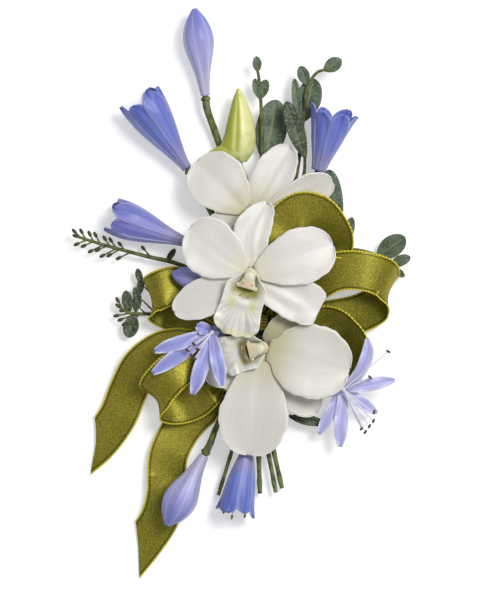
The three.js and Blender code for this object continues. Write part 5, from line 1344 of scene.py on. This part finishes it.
# %% Sprigs
LEAF_THICKNESS, TWIG_RADIUS, STALKLET_RADIUS = 0.5 * MM, 0.6 * MM, 0.48 * MM
LEAF_OUTLINE = dict(claw=0.08, widest=0.54, tip=0.03, swell=0.8)
SPRIGS = {
    "eucalyptus_tip_sprig": dict(
        stem=[(0.022, 0.41, 0.26), (0.029, 0.375, 0.25), (0.033, 0.32, 0.23), (0.034, 0.25, 0.17),
              (0.03, 0.17, 0.13)],
        slot=(1, "low"), leaves=[
            ((0.027, 0.385, 0.25), (0.025, 0.412, 0.28), 0.0155),
            ((0.029, 0.34, 0.24), (0.022, 0.374, 0.26), 0.0139),
            ((0.03, 0.338, 0.24), (0.042, 0.372, 0.27), 0.0188),
            ((0.04, 0.228, 0.12), (0.059, 0.338, 0.14), 0.0539, 0.04)]),
    "eucalyptus_right_sprig": dict(
        stem=[(0.155, 0.39, 0.34), (0.13, 0.385, 0.32), (0.113, 0.36, 0.28), (0.105, 0.3, 0.22),
              (0.092, 0.2, 0.15)],
        slot=(2, "low"), leaves=[
            ((0.112, 0.362, 0.28), (0.1, 0.395, 0.3), 0.0204),
            ((0.14, 0.387, 0.33), (0.17, 0.406, 0.36), 0.0245),
            ((0.104, 0.3, 0.18), (0.124, 0.374, 0.22), 0.0429),
            ((0.1, 0.29, 0.22), (0.09, 0.374, 0.24), 0.0163)]),
    "long_leaf": dict(
        stem=[(0.108, 0.25, 0.32), (0.105, 0.205, 0.27), (0.075, 0.15, 0.22)], slot=(1, "high"),
        leaves=[((0.109, 0.236, 0.3), (0.076, 0.334, 0.36), 0.0306, 0.05)], skin="dark"),
    "right_leaf_sprig": dict(
        stem=[(0.27, 0.045, 0.2), (0.235, 0.07, 0.08), (0.18, 0.08, 0.06), (0.12, 0.05, 0.055),
              (0.075, 0.005, 0.055)],
        side=("right", -0.022, 0.07), leaves=[
            ((0.232, 0.068, 0.12), (0.28, 0.102, 0.2), 0.0367),
            ((0.255, 0.055, 0.16), (0.289, 0.068, 0.22), 0.0188),
            ((0.262, 0.048, 0.14), (0.279, 0.034, 0.15), 0.0122),
            ((0.172, 0.08, 0.06), (0.19, 0.136, 0.08), 0.0204),
            ((0.15, 0.075, 0.05), (0.15, 0.218, 0.1), 0.049, 0.03)]),
    "lower_right_leaf": dict(
        stem=[(0.085, -0.206, 0.17)], side=("right", -0.202, 0.15),
        leaves=[((0.08, -0.206, 0.17), (0.142, -0.218, 0.2), 0.0184)], skin="dark"),
    "seeded_sprig_upper": dict(
        stem=[(-0.286, 0.104, 0.2), (-0.235, 0.088, 0.19), (-0.163, 0.069, 0.15), (-0.113, 0.057, 0.11),
              (-0.06, 0.03, 0.09)],
        side=("left", -0.0175, 0.08), leaves=[((-0.13, 0.06, 0.12), (-0.115, 0.082, 0.14), 0.0106)],
        seeds=[(-0.286, 0.104, 0.2), (-0.288, 0.112, 0.21), (-0.276, 0.112, 0.2), (-0.284, 0.09, 0.19),
               (-0.272, 0.087, 0.19), (-0.262, 0.108, 0.2), (-0.252, 0.106, 0.2), (-0.26, 0.078, 0.19),
               (-0.248, 0.08, 0.19), (-0.236, 0.1, 0.2), (-0.226, 0.097, 0.16), (-0.24, 0.07, 0.18),
               (-0.228, 0.071, 0.18), (-0.21, 0.09, 0.14), (-0.212, 0.066, 0.16), (-0.17, 0.083, 0.1)]),
    "seeded_sprig_lower": dict(
        stem=[(-0.213, -0.016, 0.16), (-0.194, -0.028, 0.14), (-0.161, -0.03, 0.06), (-0.1, -0.03, 0.05)],
        side=("left", -0.0285, 0.06), leaves=[
            ((-0.194, -0.028, 0.14), (-0.2, 0.01, 0.17), 0.0188),
            ((-0.183, -0.028, 0.09), (-0.18, 0.005, 0.1), 0.0147),
            ((-0.185, -0.03, 0.12), (-0.196, -0.07, 0.13), 0.0265),
            ((-0.176, -0.02, 0.1), (-0.184, 0.016, 0.13), 0.0147),
            ((-0.178, 0.0, 0.11), (-0.172, 0.034, 0.12), 0.013),
            ((-0.174, 0.022, 0.12), (-0.18, 0.048, 0.13), 0.012)],
        seeds=[(-0.213, -0.016, 0.16), (-0.216, -0.033, 0.15), (-0.202, -0.047, 0.14), (-0.206, -0.024, 0.16),
               (-0.209, -0.04, 0.15), (-0.214, -0.006, 0.16)]),
}
print("sprigs in the table:", len(SPRIGS))

# %% [markdown]
# Twigs fork off the stem a little nearer its foot than the leaf or seed that they carry.

# %% Greens


def leaf(foot, tip, width, fold=0.1):
    foot, tip, width = place(foot), place(tip), width * SPRAY_LENGTH
    length = np.linalg.norm(tip - foot)
    ahead = unit(tip - foot)
    side = unit(np.cross([0.0, 0.0, 1.0], ahead))

    def rule(step, across):
        along = 1 - (1 - step) ** TIP_CROWDING
        outline = tepal_outline(along, **LEAF_OUTLINE)
        lift = width * (fold * across**2 * outline + 0.02 * sin(9 * along + 2 * across))
        lift = lift + 0.015 * length * sin(pi * along) - 0.2 * MM * bulge(across, 0.14)
        at = foot + ahead * (along * length)[..., None] + np.cross(ahead, side) * lift[..., None]
        return at + side * (width / 2 * outline * across)[..., None]

    return sheet(rule, 28, 14, LEAF_THICKNESS)


FORK_LEAN = 1.1  # how far back along the stem a twig forks off, in its own lengths


def twig_to(curve, tip):
    """A twig that forks off its stem a little nearer the stem's foot, and the way it points."""
    points, reach, _ = curve
    gaps = np.linalg.norm(points - tip, axis=1)
    gap = gaps.min()
    back = min(reach[np.argmin(gaps)] + FORK_LEAN * gap, reach[-1])
    near = points[np.argmin(np.abs(reach - back))]
    line = [near, (near + tip) / 2 + [0, 0, 0.2 * MM], tip]
    twig = []
    if gap >= TWIG_RADIUS:
        twig.append((*stalk(line, lambda s: STALKLET_RADIUS * (0.9 - 0.35 * s), 10, 8), 1))
    return twig, tip - near if gap > 0.5 * MM else points[0] - points[12]


for name, facts in SPRIGS.items():
    places = [place(s) for s in facts["stem"]] + stem_ends(facts)
    curve = curve_through(places)
    greens = [(*stalk(places, lambda s: TWIG_RADIUS * (1 + s), 50, 10), 1)]
    for foot, *rest in facts["leaves"]:
        greens += [leaf(foot, *rest), *twig_to(curve, place(foot))[0]]
    for spot in facts.get("seeds", []):
        twig, lie = twig_to(curve, place(spot))
        greens += [(*lump(place(spot), (0.75 * MM, 1.5 * MM), lie), 2), *twig]
    skin = leaf_dark if facts.get("skin") == "dark" or "seeds" in facts else leaf_grey
    dressed(name, greens, [skin, twig_brown, seed_skin])
print("sprigs:", len(SPRIGS))
